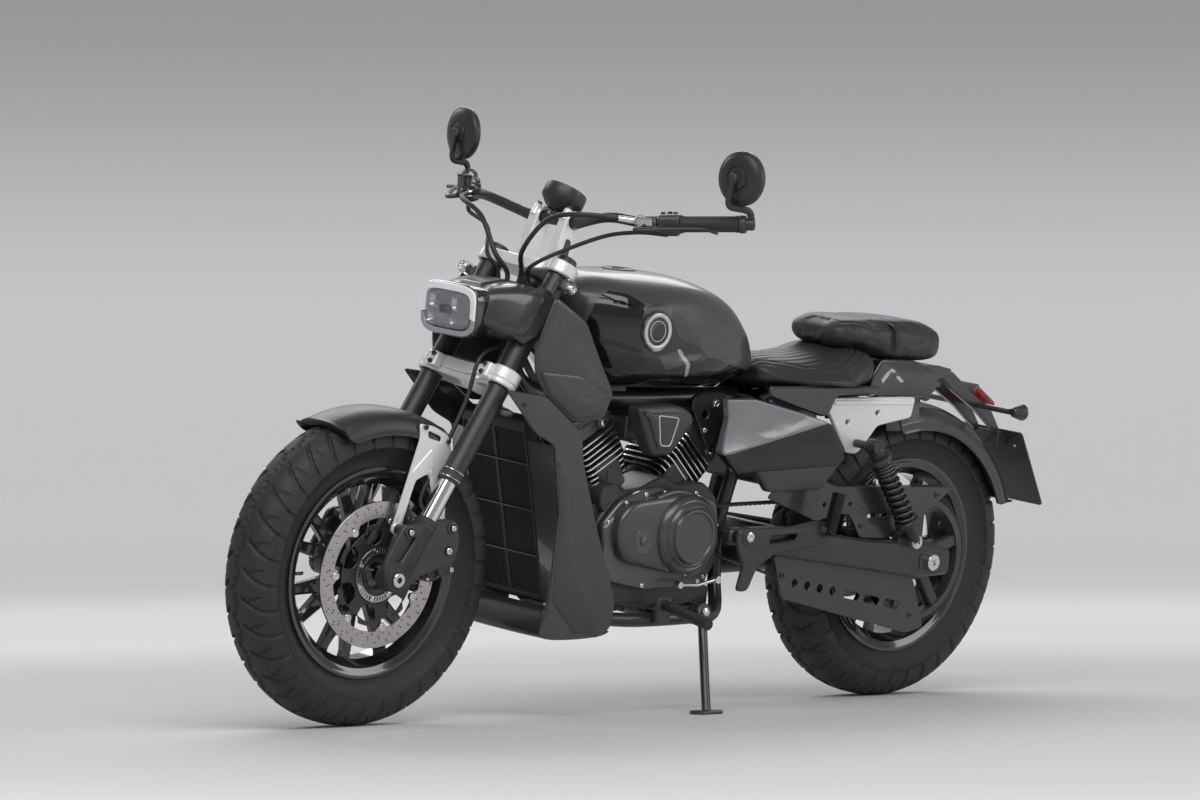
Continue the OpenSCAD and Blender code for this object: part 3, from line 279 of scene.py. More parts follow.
def slab(outline, low, high, edge=2.0, holes=(), way="side", dish=None):
    """A plate drawn in the side plane (or in plan) between two distances, with chamfered rims and
    holes right through; dish(u, v) is added to the distance to curve it."""
    loops = [np.asarray(outline, float)] + [np.asarray(h, float) for h in holes]
    verts, quads, ends, base = [], [], ([], []), 0
    for number, loop in enumerate(loops):
        n = len(loop)
        small = inset(loop, edge if number == 0 else -edge)
        area = np.sum(loop[:, 0] * np.roll(loop[:, 1], -1) - np.roll(loop[:, 0], -1) * loop[:, 1])
        for w, ring in ((low, small), (low + edge, loop), (high - edge, loop), (high, small)):
            verts.append(np.column_stack([ring, np.full(n, w)]))
        i, j = np.meshgrid(np.arange(3), np.arange(n), indexing="ij")
        k = (j + 1) % n
        face = np.stack([i * n + j, i * n + k, (i + 1) * n + k, (i + 1) * n + j], -1).reshape(-1, 4) + base
        quads.append(face if (area > 0) == (number == 0) else face[:, ::-1])
        ends[0].append(base + np.arange(n))
        ends[1].append(base + 3 * n + np.arange(n))
        base += 4 * n
    verts = np.concatenate(verts)
    faces = [np.concatenate(quads)]
    for end, index in enumerate(ends):
        flat = [[Vector((*verts[i][:2], 0)) for i in ring] for ring in index]
        tri = np.concatenate(index)[np.array(tessellate_polygon(flat))]
        p = verts[tri][..., :2]
        up = np.cross(p[:, 1] - p[:, 0], p[:, 2] - p[:, 0]) > 0
        tri[up != (end == 1)] = tri[up != (end == 1)][:, ::-1]
        faces.append(tri)
    if dish is not None:
        verts[:, 2] += dish(verts[:, 0], verts[:, 1])
    if way == "side":
        verts = verts[:, [0, 2, 1]]
    return outward((verts, faces))


def turned(part, angle, centre=(0, 0, 0), axis=1):
    """The same surface turned about a line through centre along one axis."""
    v, faces = part
    c, s = math.cos(angle), math.sin(angle)
    u, w = [(1, 2), (0, 2), (0, 1)][axis]
    p = v - centre
    q = p.copy()
    q[:, u], q[:, w] = p[:, u] * c - p[:, w] * s, p[:, u] * s + p[:, w] * c
    return q + centre, faces


def moved(part, shift):
    """The same surface, shifted."""
    return part[0] + np.asarray(shift, float), part[1]


def wheel(centre, rim_w, hub, axle_r):
    """A rim section spun about the axle, seven forked slabs thinned towards the rim, the hub's
    stepped barrel with its bore, and a valve."""
    hw, bead = rim_w / 2, 203.2
    half = [(hw + 6.5, bead + 13.5), (hw + 4.5, bead + 14), (hw + 1.2, bead + 12.5), (hw, bead + 4),
            (hw - 1, bead), (hw - 15, bead), (hw - 23, bead - 16)]
    inside = [(hw - 19, bead - 23), (hw - 6, bead - 10.5), (hw + 0.5, bead - 6.5), (hw + 3, bead + 2),
              (hw + 6.8, bead + 7.5)]
    section = half + [(-p, q) for p, q in half[::-1]] + [(-p, q) for p, q in inside[::-1]] + inside
    parts = [revolve(section + section[:1], centre, 144)]
    rim_in = bead - 20.5
    fork = [(30, -16.5), (85, -26), (rim_in - 6, -45.5), (rim_in + 1, -46), (rim_in + 1, -20),
            (rim_in - 16, -19.5), (126, -4.5), (117, 0), (126, 4.5), (rim_in - 16, 19.5),
            (rim_in + 1, 20), (rim_in + 1, 46), (rim_in - 6, 45.5), (85, 26), (30, 16.5)]
    for i in range(7):
        spoke = slab(rounded(fork, 6, 3), -12, 12, 4.5)
        v = spoke[0]
        v[:, 1] *= 1 - 0.22 * np.clip((v[:, 0] - 60) / 120, 0, 1)
        parts.append(moved(turned(spoke, -2 * np.pi * (i + 0.44) / 7), centre))
    low, high = hub
    barrel = [(low, axle_r), (low, 30), (low + 3, 33), (low + 12, 33.5), (-18, 36), (18, 36),
              (high - 12, 33.5), (high - 3, 33), (high, 30), (high, axle_r), (low, axle_r)]
    parts.append(revolve(barrel, centre, 64))
    stem = revolve([(0, 3), (4, 5.5), (10, 4.5), (24, 4.2), (30, 4.6), (34, 3.5)], (0, 0, 0), 12, axis=0)
    stem = (stem[0] * [-1, 1, 1] + [rim_in - 3, 0, 0], stem[1])
    parts.append(outward(moved(turned(stem, -0.02), centre)))
    return parts


gloss_black = finish("gloss_black_paint", (0.012, 0.012, 0.013), 0.17, coat=1.0, grain=700, bump=0.03,
                     wander=0.05, worn=(0.06, 0.06, 0.06), relief=0.0003)
piece("front_cast_wheel", wheel(FRONT, 76, (-48, 52), 10.05), gloss_black, "front_wheel_set",
      ["front_wheel"])
piece("rear_cast_wheel", wheel(REAR, 102, (-84, 84), 12.05), gloss_black, "rear_wheel_set",
      ["rear_wheel"])

# --- Brake discs ----------------------------------------------------------------------------
# Steel discs, surface ground and drilled in slanting rows. A ring of bobbins holds the front
# one on a black stamped carrier, and a slotted sensor ring sits inside the carrier.


def disc_band(centre, y, r_in, r_out, lobes, rows, thick=5):
    """A flat ring, its inner edge waved into lobes, drilled in slanting rows of small holes."""
    a = np.linspace(0, 2 * np.pi, 168, endpoint=False)
    wave = np.clip(np.cos(a * lobes) * 3 - 1.6, 0, 1)
    inner = (r_in - 8.5 * wave)[:, None] * np.stack([np.cos(a), np.sin(a)], -1)
    outer = arc(0, 0, r_out, n=168)
    holes = [inner[::-1]]
    for i in range(rows):
        for j in range(5):
            t = 2 * np.pi * (i + 0.17 * j + (0.25 if j % 2 else 0)) / rows
            r = r_in + 5.5 + j * (r_out - r_in - 11) / 4
            if (i + j) % 7 == 3:
                continue
            holes.append(arc(r * math.cos(t), r * math.sin(t), 2.1, n=8))
    return moved(slab(outer, y, y + thick, 0.4, holes), centre)


disc_steel = finish("ground_disc_steel", (0.50, 0.47, 0.46), 0.30, metal=1.0, grain=1500, bump=0.15,
                    blotch=0.10, patch=30)
satin_black = finish("satin_black_coating", (0.020, 0.020, 0.021), 0.40, grain=1300, bump=0.14,
                     worn=(0.08, 0.08, 0.08))
bright_steel = finish("bright_zinc_steel", (0.70, 0.70, 0.71), 0.18, metal=1.0, grain=800, bump=0.04,
                      blotch=0.06)
piece("front_disc_band", [disc_band(FRONT, 58, 117, 151, 7, 28)], disc_steel, "front_wheel_set",
      ["front_brake_disc"])
carrier_hole = rounded([(72, -17), (96, -26), (104, 0), (96, 26), (72, 17), (66, 0)], 6, 3)
carrier, bobbins = [], []
a = np.linspace(0, 2 * np.pi, 168, endpoint=False)
edge_r = 105.5 + 8.5 * np.clip(np.cos(a * 7 + np.pi) * 3 - 1.5, -1.3, 0)
rim_loop = np.stack([edge_r * np.cos(a), edge_r * np.sin(a)], -1)


def ring_of(outline, count):
    """Copies of an outline turned about the axle, the first by half a step."""
    steps = 2 * np.pi * (np.arange(count) + 0.5) / count
    return [outline @ np.array([[math.cos(t), math.sin(t)], [-math.sin(t), math.cos(t)]]) for t in steps]


windows = ring_of(carrier_hole * [0.93, 1.0], 7)
carrier.append(moved(slab(rim_loop, 59, 62.5, 0.6, windows + [arc(0, 0, 58, n=48)]), FRONT))
carrier.append(revolve([(52.1, 26), (52.1, 34), (57.5, 36), (59.5, 60), (62.5, 60), (62.5, 40), (61.5, 31),
                        (58, 26), (52.1, 26)], FRONT, 72))
for i in range(7):
    t = 2 * np.pi * i / 7
    at = FRONT + [110.5 * math.cos(t), 0, 110.5 * math.sin(t)]
    bobbins.append(revolve([(57.2, 8.5), (64, 8.5), (64.8, 7.5), (64.8, 4.5), (63.2, 4)], at, 20))
    t += np.pi / 7
    at = FRONT + [51.09 * math.cos(t), 0, 51.09 * math.sin(t)]
    bobbins.append(revolve([(62, 5.8), (66.5, 5.8), (67.2, 4.8), (67.2, 2.8), (65.5, 2.5)], at, 16))
piece("front_disc_carrier", carrier, satin_black, "front_wheel_set")
piece("front_disc_bobbins", bobbins, bright_steel, "front_wheel_set")
teeth = ring_of(np.array([(45.5, -1.3), (54, -1.3), (54, 1.3), (45.5, 1.3)]), 44)
ring = slab(arc(0, 0, 56.5, n=88), 63, 64.8, 0.3, teeth + [arc(0, 0, 43, n=64)])
piece("front_sensor_ring", [moved(ring, FRONT)], disc_steel, "front_wheel_set")

# --- Front axle and fork ----------------------------------------------------------------------
# Upside-down look fork: black upper tubes in both clamps, hard-chromed sliders that run into cast
# lower legs. The legs carry the hollow axle, the brace bosses and the caliper's web.
rake = math.radians(30.5)


def steered(points):
    """Steering frame to machine: heights run up the steering axis, which leans back by the rake
    from its foot 892 mm ahead of the middle."""
    p = np.asarray(points, float)
    c, s = math.cos(rake), math.sin(rake)
    return np.stack([892 + p[..., 0] * c - p[..., 2] * s, p[..., 1], p[..., 0] * s + p[..., 2] * c], -1)


def on_fork(part):
    """A surface drawn in the steering frame, brought into the machine's."""
    return outward((steered(part[0]), part[1]))


def mirrored(part):
    """The same surface on the other side: distances to the left become distances to the right."""
    return part[0] * [1, -1, 1], [f[:, ::-1] for f in part[1]]


def both(parts):
    """Left-hand surfaces together with their mirror images."""
    parts = [parts] if isinstance(parts, tuple) else list(parts)
    return parts + [mirrored(p) for p in parts]


def bolt(x, z, y, r=6.0, side=1, h=None):
    """A socket-head bolt that faces sideways: a rimmed button with a sunk socket."""
    h = h or r * 0.8
    profile = [(-1, r), (h * 0.8, r), (h, r * 0.85), (h, r * 0.5), (h * 0.3, r * 0.45)]
    return revolve([(y + side * a, q) for a, q in profile], (x, 0, z), 18)


tube_x, tube_y = 40, 105
tubes = [(588, 23.0), (592, 23.4), (604, 23.4), (606, 23.0), (1094, 23.0), (1104, 22.4), (1106, 21)]
piece("fork_upper_tubes", both([on_fork(revolve(tubes, (tube_x, tube_y, 0), 64, axis=2))]), satin_black,
      "steering", ["fork_legs"])
hard_chrome = finish("hard_chrome", (0.78, 0.78, 0.79), 0.07, metal=1.0, grain=500, bump=0.015, blotch=0.03,
                     wander=0.02)
piece("fork_sliders", both([on_fork(revolve([(440, 18.4), (600, 18.4)], (tube_x, tube_y, 0), 64, axis=2))]),
      hard_chrome, "steering")
seals = [on_fork(revolve([(574, 19.0), (574, 24.5), (577, 25.2), (586, 25.2), (589, 24.2), (600, 24.2),
                          (602, 23)], (tube_x, tube_y, 0), 56, axis=2)),
         on_fork(revolve([(470, 19.0), (470, 22.5), (473, 23.5), (481, 23.5), (484, 21.0), (486, 18.6)],
                         (tube_x, tube_y, 0), 56, axis=2))]
piece("fork_seals", both(seals), finish("seal_rubber", (0.03, 0.03, 0.03), 0.6, grain=1500, bump=0.2),
      "steering")
clips = [on_fork(revolve([(h, 24.4), (h, 25.9), (h + 1.6, 25.9), (h + 1.6, 24.4), (h, 24.4)],
                         (tube_x, tube_y, 0), 56, axis=2)) for h in (579.5, 596)]
piece("fork_seal_clips", both(clips), bright_steel, "steering")
cast_black = finish("cast_black_enamel", (0.021, 0.021, 0.022), 0.42, grain=700, bump=0.35,
                    worn=(0.10, 0.10, 0.10))
leg = [(347, 17), (349, 20.5), (362, 23), (400, 23), (436, 22.2), (462, 22.6), (466, 23.4), (470, 22.6),
       (470, 18.6)]
web = np.array([(-22, -24), (22, -22), (37, 28), (-8, 110), (-36, 112), (-78, 122), (-138, 120),
                (-154, 110), (-161, 64), (-151, 30), (-60, 4)], float)
web_holes = [rounded([(-8, 34), (10, 40), (-22, 84), (-44, 86)], 9, 3), arc(-131, 56, 7.5, n=18)]
casting = [
    on_fork(revolve(leg, (tube_x, tube_y, 0), 48, axis=2)),
    revolve([(83, 18), (84, 24), (87, 27), (122, 27), (126, 25), (127, 20)], FRONT, 56),
    moved(slab(rounded(web, 12, 4), 111, 123, 2.5, web_holes), FRONT),
    moved(slab(rounded([(-20, 6), (26, 20), (4, 92), (-40, 100), (-64, 60)], 14, 4), 100, 115, 4), FRONT),
]
for dx, dz in ((-23, 97), (-136, 103)):
    casting.append(revolve([(81.8, 10.8), (110, 10.8), (116, 13), (126, 12.4), (127, 9), (124, 8.6)],
                           (765 + dx, 0, 320 + dz), 32))
piece("fork_lower_castings", both(casting), cast_black, "steering")
axle = [(-132, 6.5), (-132, 13.6), (-130.6, 15), (-128, 15), (-127.4, 10), (127.4, 10), (128, 15),
        (130.6, 15), (132, 13.6), (132, 6.5), (-132, 6.5)]
spacers = [[(52.4, 10.1), (52.4, 14), (82.6, 14), (82.6, 10.1), (52.4, 10.1)],
           [(-82.6, 10.1), (-82.6, 14), (-48.4, 14), (-48.4, 10.1), (-82.6, 10.1)]]
piece("front_axle_bar", [revolve(p, FRONT, 48) for p in [axle] + spacers], bright_steel, "steering",
      ["front_axle"])
nuts = [bolt(765 + dx, 320 + dz, 126 * s, 6.2, s) for dx, dz in ((-23, 97), (-136, 103)) for s in (-1, 1)]
nuts += [bolt(765 - 131, 320 + 56, 123 * s, 7.5, s) for s in (-1, 1)]
piece("fork_leg_bolts", nuts, bright_steel, "steering")

# --- Front brake caliper ------------------------------------------------------------------------
# A two-piece four-piston caliper in black enamel on the back of the left leg, its halves bridged
# over the disc and held by a column of zinc-plated bolts; a hose leaves its upper end.
turn_c = math.radians(161)


def at_disc(part):
    """Drawn with x outwards from the axle and z round it, and turned to the caliper's place."""
    return moved(turned(part, turn_c), FRONT)


half_c = rounded([(90, -24), (104, -28), (160, -28), (170, -20), (170, 40), (160, 50), (104, 50), (90, 42),
                  (86, 10)], 7, 4)
caliper = [at_disc(slab(half_c, 33, 54, 3)), at_disc(slab(half_c, 67, 99, 4)),
           at_disc(slab(rounded([(157, -24), (171, -24), (171, 46), (157, 46)], 4), 48, 84, 2)),
           at_disc(slab(rounded([(118, -12), (140, -12), (140, 40), (118, 40)], 6), 96, 110.8, 2))]
for t in (-6, 28):
    caliper.append(at_disc(revolve([(96, 17), (102, 17), (104.5, 15), (104.5, 11.5), (103, 11), (103, 2)],
                                   (112, 0, t), 32)))
    caliper.append(at_disc(revolve([(36, 16), (33, 16), (31, 14), (31, 10), (32, 9.5)], (116, 0, t), 28)))
piece("front_caliper_body", caliper, cast_black, "steering", ["front_caliper"])
pads = [at_disc(slab(rounded([(118, -18), (150, -18), (150, 40), (118, 40)], 4), y, y + 4.2, 0.5))
        for y in (53.4, 63.6)]
piece("front_brake_pads", pads, disc_steel, "steering")
column = [at_disc(bolt(160, t, 98, 5.4, 1)) for t in (-20, -2, 22, 42)] + [at_disc(bolt(96, t, 98, 4.4, 1))
    for t in (-16, 11, 38)]
piece("front_caliper_bolts", column, bright_steel, "steering")

# --- Front fender and its braces ------------------------------------------------------------------
# A short moulded fender in satin black with a thickened lip. Forged aluminium braces, painted
# silver-white, drop from each side to two bosses on the fork's lower leg.


def curve(points, steps=6):
    """Catmull-Rom curve: each span is a cubic whose slope at a point is half the step between
    that point's neighbours."""
    p = np.asarray(points, float)
    a, b, c, d = p[np.r_[0, 0:len(p) - 2]], p[:-1], p[1:], p[np.r_[2:len(p), len(p) - 1]]
    t = np.linspace(0, 1, steps, endpoint=False)[None, :, None]
    a, b, c, d = (q[:, None, :] for q in (a, b, c, d))
    out = 0.5 * (2 * b + (c - a) * t + (2 * a - 5 * b + 4 * c - d) * t**2 + (3 * b - a - 3 * c + d) * t**3)
    return np.concatenate([out.reshape(-1, p.shape[1]), p[-1:]])


def arch(centre, start, end, r_in, y_in, t, skirt, round_off=40.0, lip=1.2):
    """A crowned section carried round the axle. Towards each end the skirt draws in along a
    quarter circle, and a lip thickens the rim."""
    half = curve([(r_in, 0), (r_in - 3, y_in * 0.5), (r_in - 14, y_in * 0.84), (r_in - 34, y_in),
                  (r_in - skirt, y_in)], 5)
    outer = curve([(r_in + t, 0), (r_in - 2.5 + t, y_in * 0.5), (r_in - 11, y_in * 0.84 + t),
                   (r_in - 32, y_in + t), (r_in - skirt, y_in + t)], 5)
    loop = np.concatenate([half * [1, -1], outer[::-1] * [1, -1], outer[1:], half[::-1][:-1]])
    a = np.radians(np.linspace(start, end, 72))
    along = np.minimum(a - a[0], a[-1] - a) * r_in
    short = 1 - np.sqrt(np.clip(1 - (1 - np.clip(along / round_off, 0, 1)) ** 2, 0, 1))
    deep = np.clip((r_in - 8 - loop[:, 0]) / max(skirt - 8, 1), 0, 1)
    r = loop[None, :, 0] + short[:, None] * deep[None, :] * (r_in - 8 - loop[None, :, 0])
    n_half = len(half)
    inner_side = np.zeros(len(loop))
    inner_side[:n_half] = 1
    inner_side[-n_half + 1:] = 1
    rim = np.clip(1 - along / 6, 0, 1)[:, None] + np.clip(1 - (loop[None, :, 0] - (r_in - skirt)) / 5, 0, 1)
    push = lip * np.clip(rim, 0, 1) * (1 - inner_side)
    y = loop[None, :, 1] * (1 + push / np.maximum(np.abs(loop[None, :, 1]), 30))
    r = r + push * (1 - deep)[None, :]
    rings = np.stack([r * np.cos(a)[:, None], y + 0 * r, r * np.sin(a)[:, None]], -1)
    return outward(moved(skin(rings), centre))


piece("front_fender_shell", [arch(FRONT, 66, 118, 334, 73, 4, 46)], satin_black, "steering",
      ["front_fender"])
white_cast = finish("silver_white_paint", (0.72, 0.72, 0.71), 0.32, metal=0.25, coat=0.4, grain=900,
                    bump=0.12, blotch=0.05, worn=(0.85, 0.85, 0.84))


def polar(r, degrees):
    """A point at a radius and angle from the axle."""
    return (r * math.cos(math.radians(degrees)), r * math.sin(math.radians(degrees)))


brace = [polar(290, 103), polar(318, 101), polar(322, 108), polar(320, 116), polar(297, 121), (-150, 150),
         (-151, 100), (-141, 89), (-127, 91),
         (-119, 120), (-112, 165), (-88, 226), (-66, 208), (-37, 104), (-32, 88), (-18, 83), (-9, 94),
         (-20, 128)]
brace_hole = [rounded([polar(296, 107), polar(309, 106), polar(309, 113), polar(299, 114)], 5, 3)]
braces = [moved(slab(rounded(np.array(brace), 9, 4), 77, 82, 1.6, brace_hole), FRONT)]
braces.append(moved(slab(rounded([(-104, 200), (-90, 208), (-62, 196), (-33, 108), (-27, 108), (-50, 214),
                                  (-100, 262)], 6), 80.5, 84, 1.4), FRONT))
for dx, dz in ((-23, 97), (-136, 103)):
    braces.append(revolve([(77, 12.5), (84, 12.5), (85.4, 11.2), (85.4, 8.6), (77, 8.0)],
                          (765 + dx, 0, 320 + dz), 36))
piece("fender_brace_pair", both(braces), white_cast, "steering", ["fender_braces"])
fixings = [bolt(765 + x, 320 + z, 81.8, 5.5) for x, z in (polar(314, 104), polar(308, 117))]
piece("fender_brace_bolts", both(fixings), cast_black, "steering")

# --- Fork clamps and bar risers -------------------------------------------------------------------
# Two forged aluminium clamps in silver-white paint hold the tubes, pinched by socket bolts. Curved
# risers stand on the upper one and grip the bar under bolted caps.


def clamp_plan(front):
    """Outline across the steering axis: arcs round each tube and the stem, joined by straight
    edges, the front one set in between the tubes."""
    side = np.concatenate([[(front, 0), (front + 6, 38)],
                           arc(40, 105, 33, math.radians(-40), math.radians(205), 18), [(-4, 58)],
                           arc(0, 0, 31, math.radians(112), math.radians(170), 6)])
    return np.concatenate([side, side[:0:-1] * [1, -1]])


def web_plan(s):
    """The pocket between a tube and the stem."""
    return rounded([(34, 26 * s), (44, 62 * s), (12, 78 * s), (6, 44 * s)], 8, 3)


tube_holes = [arc(40, 105 * s, 23.3, n=48) for s in (-1, 1)]
lower = [on_fork(slab(clamp_plan(50), 812, 838, 2.5, tube_holes, "plan")),
         on_fork(slab(clamp_plan(46), 800, 812.5, 2.5, tube_holes + [web_plan(s) for s in (-1, 1)],
                      "plan")),
         on_fork(revolve([(838, 30), (846, 26), (848, 17), (1064, 16), (1066, 15)], (0, 0, 0), 40, axis=2))]
for s in (-1, 1):
    lower.append(on_fork(slab(rounded([(60, 62 * s), (80, 70 * s), (80, 96 * s), (62, 96 * s)], 6, 3), 803,
                              835, 2, (), "plan")))
piece("lower_fork_clamp", lower, white_cast, "steering", ["lower_clamp"])
pinch = []
for s in (-1, 1):
    for h in (810, 828):
        pinch.append(on_fork(revolve([(78, 5.2), (84, 5.2), (85.5, 4.4), (85.5, 2.6), (82, 2.2)],
                                     (0, 80 * s, h), 16, axis=0)))
    pinch.append(on_fork(revolve([(1076, 0.1), (1076, 6), (1082, 6), (1083, 5)], (-8, 62 * s, 20), 12,
                                 axis=2)))
    pinch.append(on_fork(revolve([(1100, 22.2), (1107, 21.6), (1108.5, 20), (1108.5, 12), (1106, 11),
                                  (1106, 6), (1109, 5.4)], (40, 105 * s, 0), 40, axis=2)))
piece("clamp_pinch_bolts", pinch, cast_black, "steering")
upper = [on_fork(slab(clamp_plan(50), 1066, 1094, 3, tube_holes, "plan"))]
riser = np.concatenate([[(-26, 1092), (-16, 1118), (-4, 1150), (8, 1180)],
                        arc(32, 1196, 22.5, math.radians(160), math.radians(-25), 16),
                        [(48, 1160), (38, 1124), (30, 1092)]])
pocket = rounded([(-2, 1112), (20, 1112), (32, 1158), (16, 1160)], 8, 3)
for s in (-1, 1):
    y = sorted((32 * s, 60 * s))
    upper.append(on_fork(slab(riser, y[0], y[1], 3.5, [arc(32, 1196, 13.3, n=40)])))
    for x in (13, 51):
        upper.append(on_fork(revolve([(1190, 8.5), (1212, 8.5), (1214, 7)], (x, 46 * s, 0), 20, axis=2)))
piece("upper_fork_clamp", upper, white_cast, "steering", ["upper_clamp"])
caps = []
for s in (-1, 1):
    for x in (13, 51):
        caps.append(on_fork(revolve([(1213, 5.6), (1219, 5.6), (1220, 4.8), (1220, 2.8), (1216, 2.4)],
                                    (x, 46 * s, 0), 16, axis=2)))
    caps.append(on_fork(slab(pocket, 60 * s - 0.4, 60 * s + 0.4, 0.1)))
caps.append(on_fork(revolve([(1093, 19), (1104, 19), (1106, 17), (1106, 9), (1100, 8)], (0, 0, 0), 6,
                            axis=2)))
piece("riser_cap_bolts", caps, cast_black, "steering")

# --- Handlebar and its fittings -------------------------------------------------------------------
# A tapered steel bar in satin black with ribbed rubber grips, bar-end weights, a switch block on
# each side, a clutch perch with a polished top and a brake master cylinder.
BAR = steered([32, 0, 1196])
side_points = np.array([[0, 0, 0], [0, 62, 0], [6, 90, 4], [22, 190, 26], [-18, 290, 24], [-125, 420, 42]],
                       float)
TIP, KNEE = BAR + side_points[5], BAR + side_points[4]
out = (TIP - KNEE) / np.linalg.norm(TIP - KNEE)


def tube(path, r, n=14, flat=1.0):
    """Circles of radius r across a path, square to its direction; flat squeezes them along the
    direction in which the path spreads least."""
    p = np.asarray(path, float)
    t = np.gradient(p, axis=0)
    t /= np.linalg.norm(t, axis=1)[:, None]
    least = np.linalg.svd(p - p.mean(0))[2][2]
    u = np.cross(t, least)
    u /= np.linalg.norm(u, axis=1)[:, None]
    v = np.cross(u, t)
    a = np.linspace(0, 2 * np.pi, n, endpoint=False)[None, :, None]
    size = np.broadcast_to(np.asarray(r, float), (len(p),))[:, None, None]
    return outward(skin(p[:, None] + size * (np.cos(a) * u[:, None] + flat * np.sin(a) * v[:, None])))


def on_bar(part):
    """Drawn with z out along the left grip from its tip, x forward and y up, then set on the bar."""
    ahead = np.cross(out, [0, 0, 1])
    ahead /= np.linalg.norm(ahead)
    up = np.cross(ahead, out)
    up *= np.sign(up[2])
    ahead *= np.sign(ahead[0])
    v = part[0]
    return outward((TIP + v[:, :1] * ahead + v[:, 1:2] * up + v[:, 2:] * out, part[1]))


def pod(rows, p=0.6, n=36, axis=0):
    """Rounded sections along one axis, each (along, half width, low, high): a superellipse whose
    cosine and sine are raised to the power p."""
    rows = np.asarray(rows, float)
    a = np.linspace(0, 2 * np.pi, n, endpoint=False)
    c, s = np.sign(np.cos(a)) * np.abs(np.cos(a)) ** p, np.sign(np.sin(a)) * np.abs(np.sin(a)) ** p
    along, half, low, high = rows.T[:, :, None]
    other = [(1, 2), (0, 2), (0, 1)][axis]
    rings = np.zeros((len(rows), n, 3))
    rings[..., axis] = along
    rings[..., other[0]] = half * c
    rings[..., other[1]] = (low + high) / 2 + (high - low) / 2 * s
    return outward(skin(rings))


half_bar = curve(side_points, 10)
whole = np.concatenate([half_bar[::-1] * [1, -1, 1], half_bar[1:]])
thick = 11 + 2 * np.clip((92 - np.abs(whole[:, 1])) / 26, 0, 1)
piece("handlebar_tube", [tube(BAR + whole, thick, 28)], satin_black, "steering",
      ["handlebar"])
ribs = [(z, 16.1 + 0.8 * (i % 4 < 2)) for i, z in enumerate(np.arange(-112, -10, 1.25))]
grip = on_bar(revolve([(-122, 12), (-122, 18.5), (-119, 19), (-117, 17)] + ribs + [(-8, 17.5), (-4, 17.5),
    (-2, 15)], (0, 0, 0), 40, axis=2))
piece("rubber_grips", both([grip]), rubber, "steering")
ends = [on_bar(revolve([(-2, 12), (-2, 18), (-0.5, 19), (9, 19), (12, 17), (12, 6), (8, 5), (8, 2)],
                       (0, 0, 0), 40, axis=2)),
        on_bar(revolve([(-196, 12), (-196, 17.5), (-172, 17.5), (-172, 12)], (0, 0, 0), 36, axis=2)),
        on_bar(pod([(-168, 17, -17, 17), (-166, 21, -20, 20), (-150, 22, -24, 21), (-128, 22, -24, 21),
                    (-124, 21, -20, 20), (-122, 17, -17, 17)], 0.55, axis=2)),
        on_bar(pod([(-198, 10, -8, 8), (-197, 13, -10, 11), (-175, 13, -10, 11), (-174, 10, -8, 8)], 0.5,
                   axis=2))]
for z, x, h in ((-160, -12, 24), (-146, -14, 25), (-134, -10, 24)):
    ends.append(on_bar(moved(pod([(-4, 4.0, -4, 4), (-3, 4.8, -5, 5), (3, 4.8, -5, 5), (4, 4, -4, 4)], 0.5,
                                 20), (x, h - 4, z))))
perch = TIP - 184 * out
ends.append(tube([perch + [2, -2, 0], perch + [16, 4, -3], perch + [30, 8, -5]], [15, 13, 10], 20, 0.7))
piece("bar_switch_blocks", both(ends), cast_black, "steering", ["hand_controls"])
lever_line = curve([perch + [22, 2, -4], perch + [50, 14, -10], (perch + TIP) / 2 + [58, -8, -11],
                    TIP + [66, -40, -16], TIP + [61, -12, -19], TIP + [58, -4, -20]], 6)
width = np.interp(np.linspace(0, 1, len(lever_line)), [0, 0.15, 0.6, 0.9, 0.95, 0.98, 1],
                  [10, 7.5, 6, 5.2, 6.6, 7.2, 4])
lever = tube(lever_line, width, 18, 0.62)
piece("hand_levers", both([lever]), satin_black, "steering")
lid_r = pod([(1105, 16, -22, 22), (1106, 18, -24, 24), (1109, 18, -24, 24), (1110, 16, -22, 22)], 0.3, 40,
            axis=2)
box_r = pod([(1066, 12, -18, 18), (1069, 15, -21, 21), (1101, 16, -22, 22), (1105, 17, -23, 23)], 0.35, 40,
            axis=2)


def at_perch(part, s, lift=0.0):
    """Drawn round the origin in plan, turned to lie along the bar, and set ahead of its perch."""
    spun = turned(part, math.radians(42) * s, (0, 0, 0), 2)
    return moved(spun, (perch[0] + 21, s * perch[1], lift))


piece("brake_master_cylinder", [at_perch(box_r, -1), at_perch(lid_r, -1),
      at_perch(revolve([(-40, 7), (-36, 9), (30, 9), (34, 7)], (-2, 0, 1074), 24, axis=1), -1)],
      gloss_black, "steering")
perch_top = pod([(1066, 10, -18, 18), (1068, 13, -20, 20), (1080, 12, -19, 19), (1083, 9, -16, 16)], 0.5,
                36, axis=2)
piece("clutch_perch_top", [at_perch(perch_top, 1)],
      finish("polished_alloy", (0.62, 0.62, 0.63), 0.22, metal=1.0, grain=900, bump=0.06, blotch=0.06),
      "steering")
screws = [at_perch(revolve([(1110, 3.2), (1112, 3.2), (1112.6, 2.4)], (x, y, 0), 12, axis=2), -1)
          for x, y in ((-11, -18), (11, -18), (-11, 18), (11, 18))]
screws.append(at_perch(revolve([(-47, 5), (-47, 8), (-41, 8), (-41, 5)], (-2, 0, 1074), 6, axis=1), -1))
screws.append(at_perch(revolve([(1083, 6), (1087, 6), (1088, 5), (1088, 3)], (0, -8, 0), 16, axis=2), 1))
piece("master_cylinder_screws", screws, bright_steel, "steering")

# --- Cables and hoses -----------------------------------------------------------------------------
# Rubber-covered clutch cable, throttle cable, brake hose and switch looms; all are clipped at both
# ends to parts that steer, so they turn with the bar as one.


def fork_point(x, y, z):
    """One point of a path, given in the steering frame."""
    return steered([x, y, z])


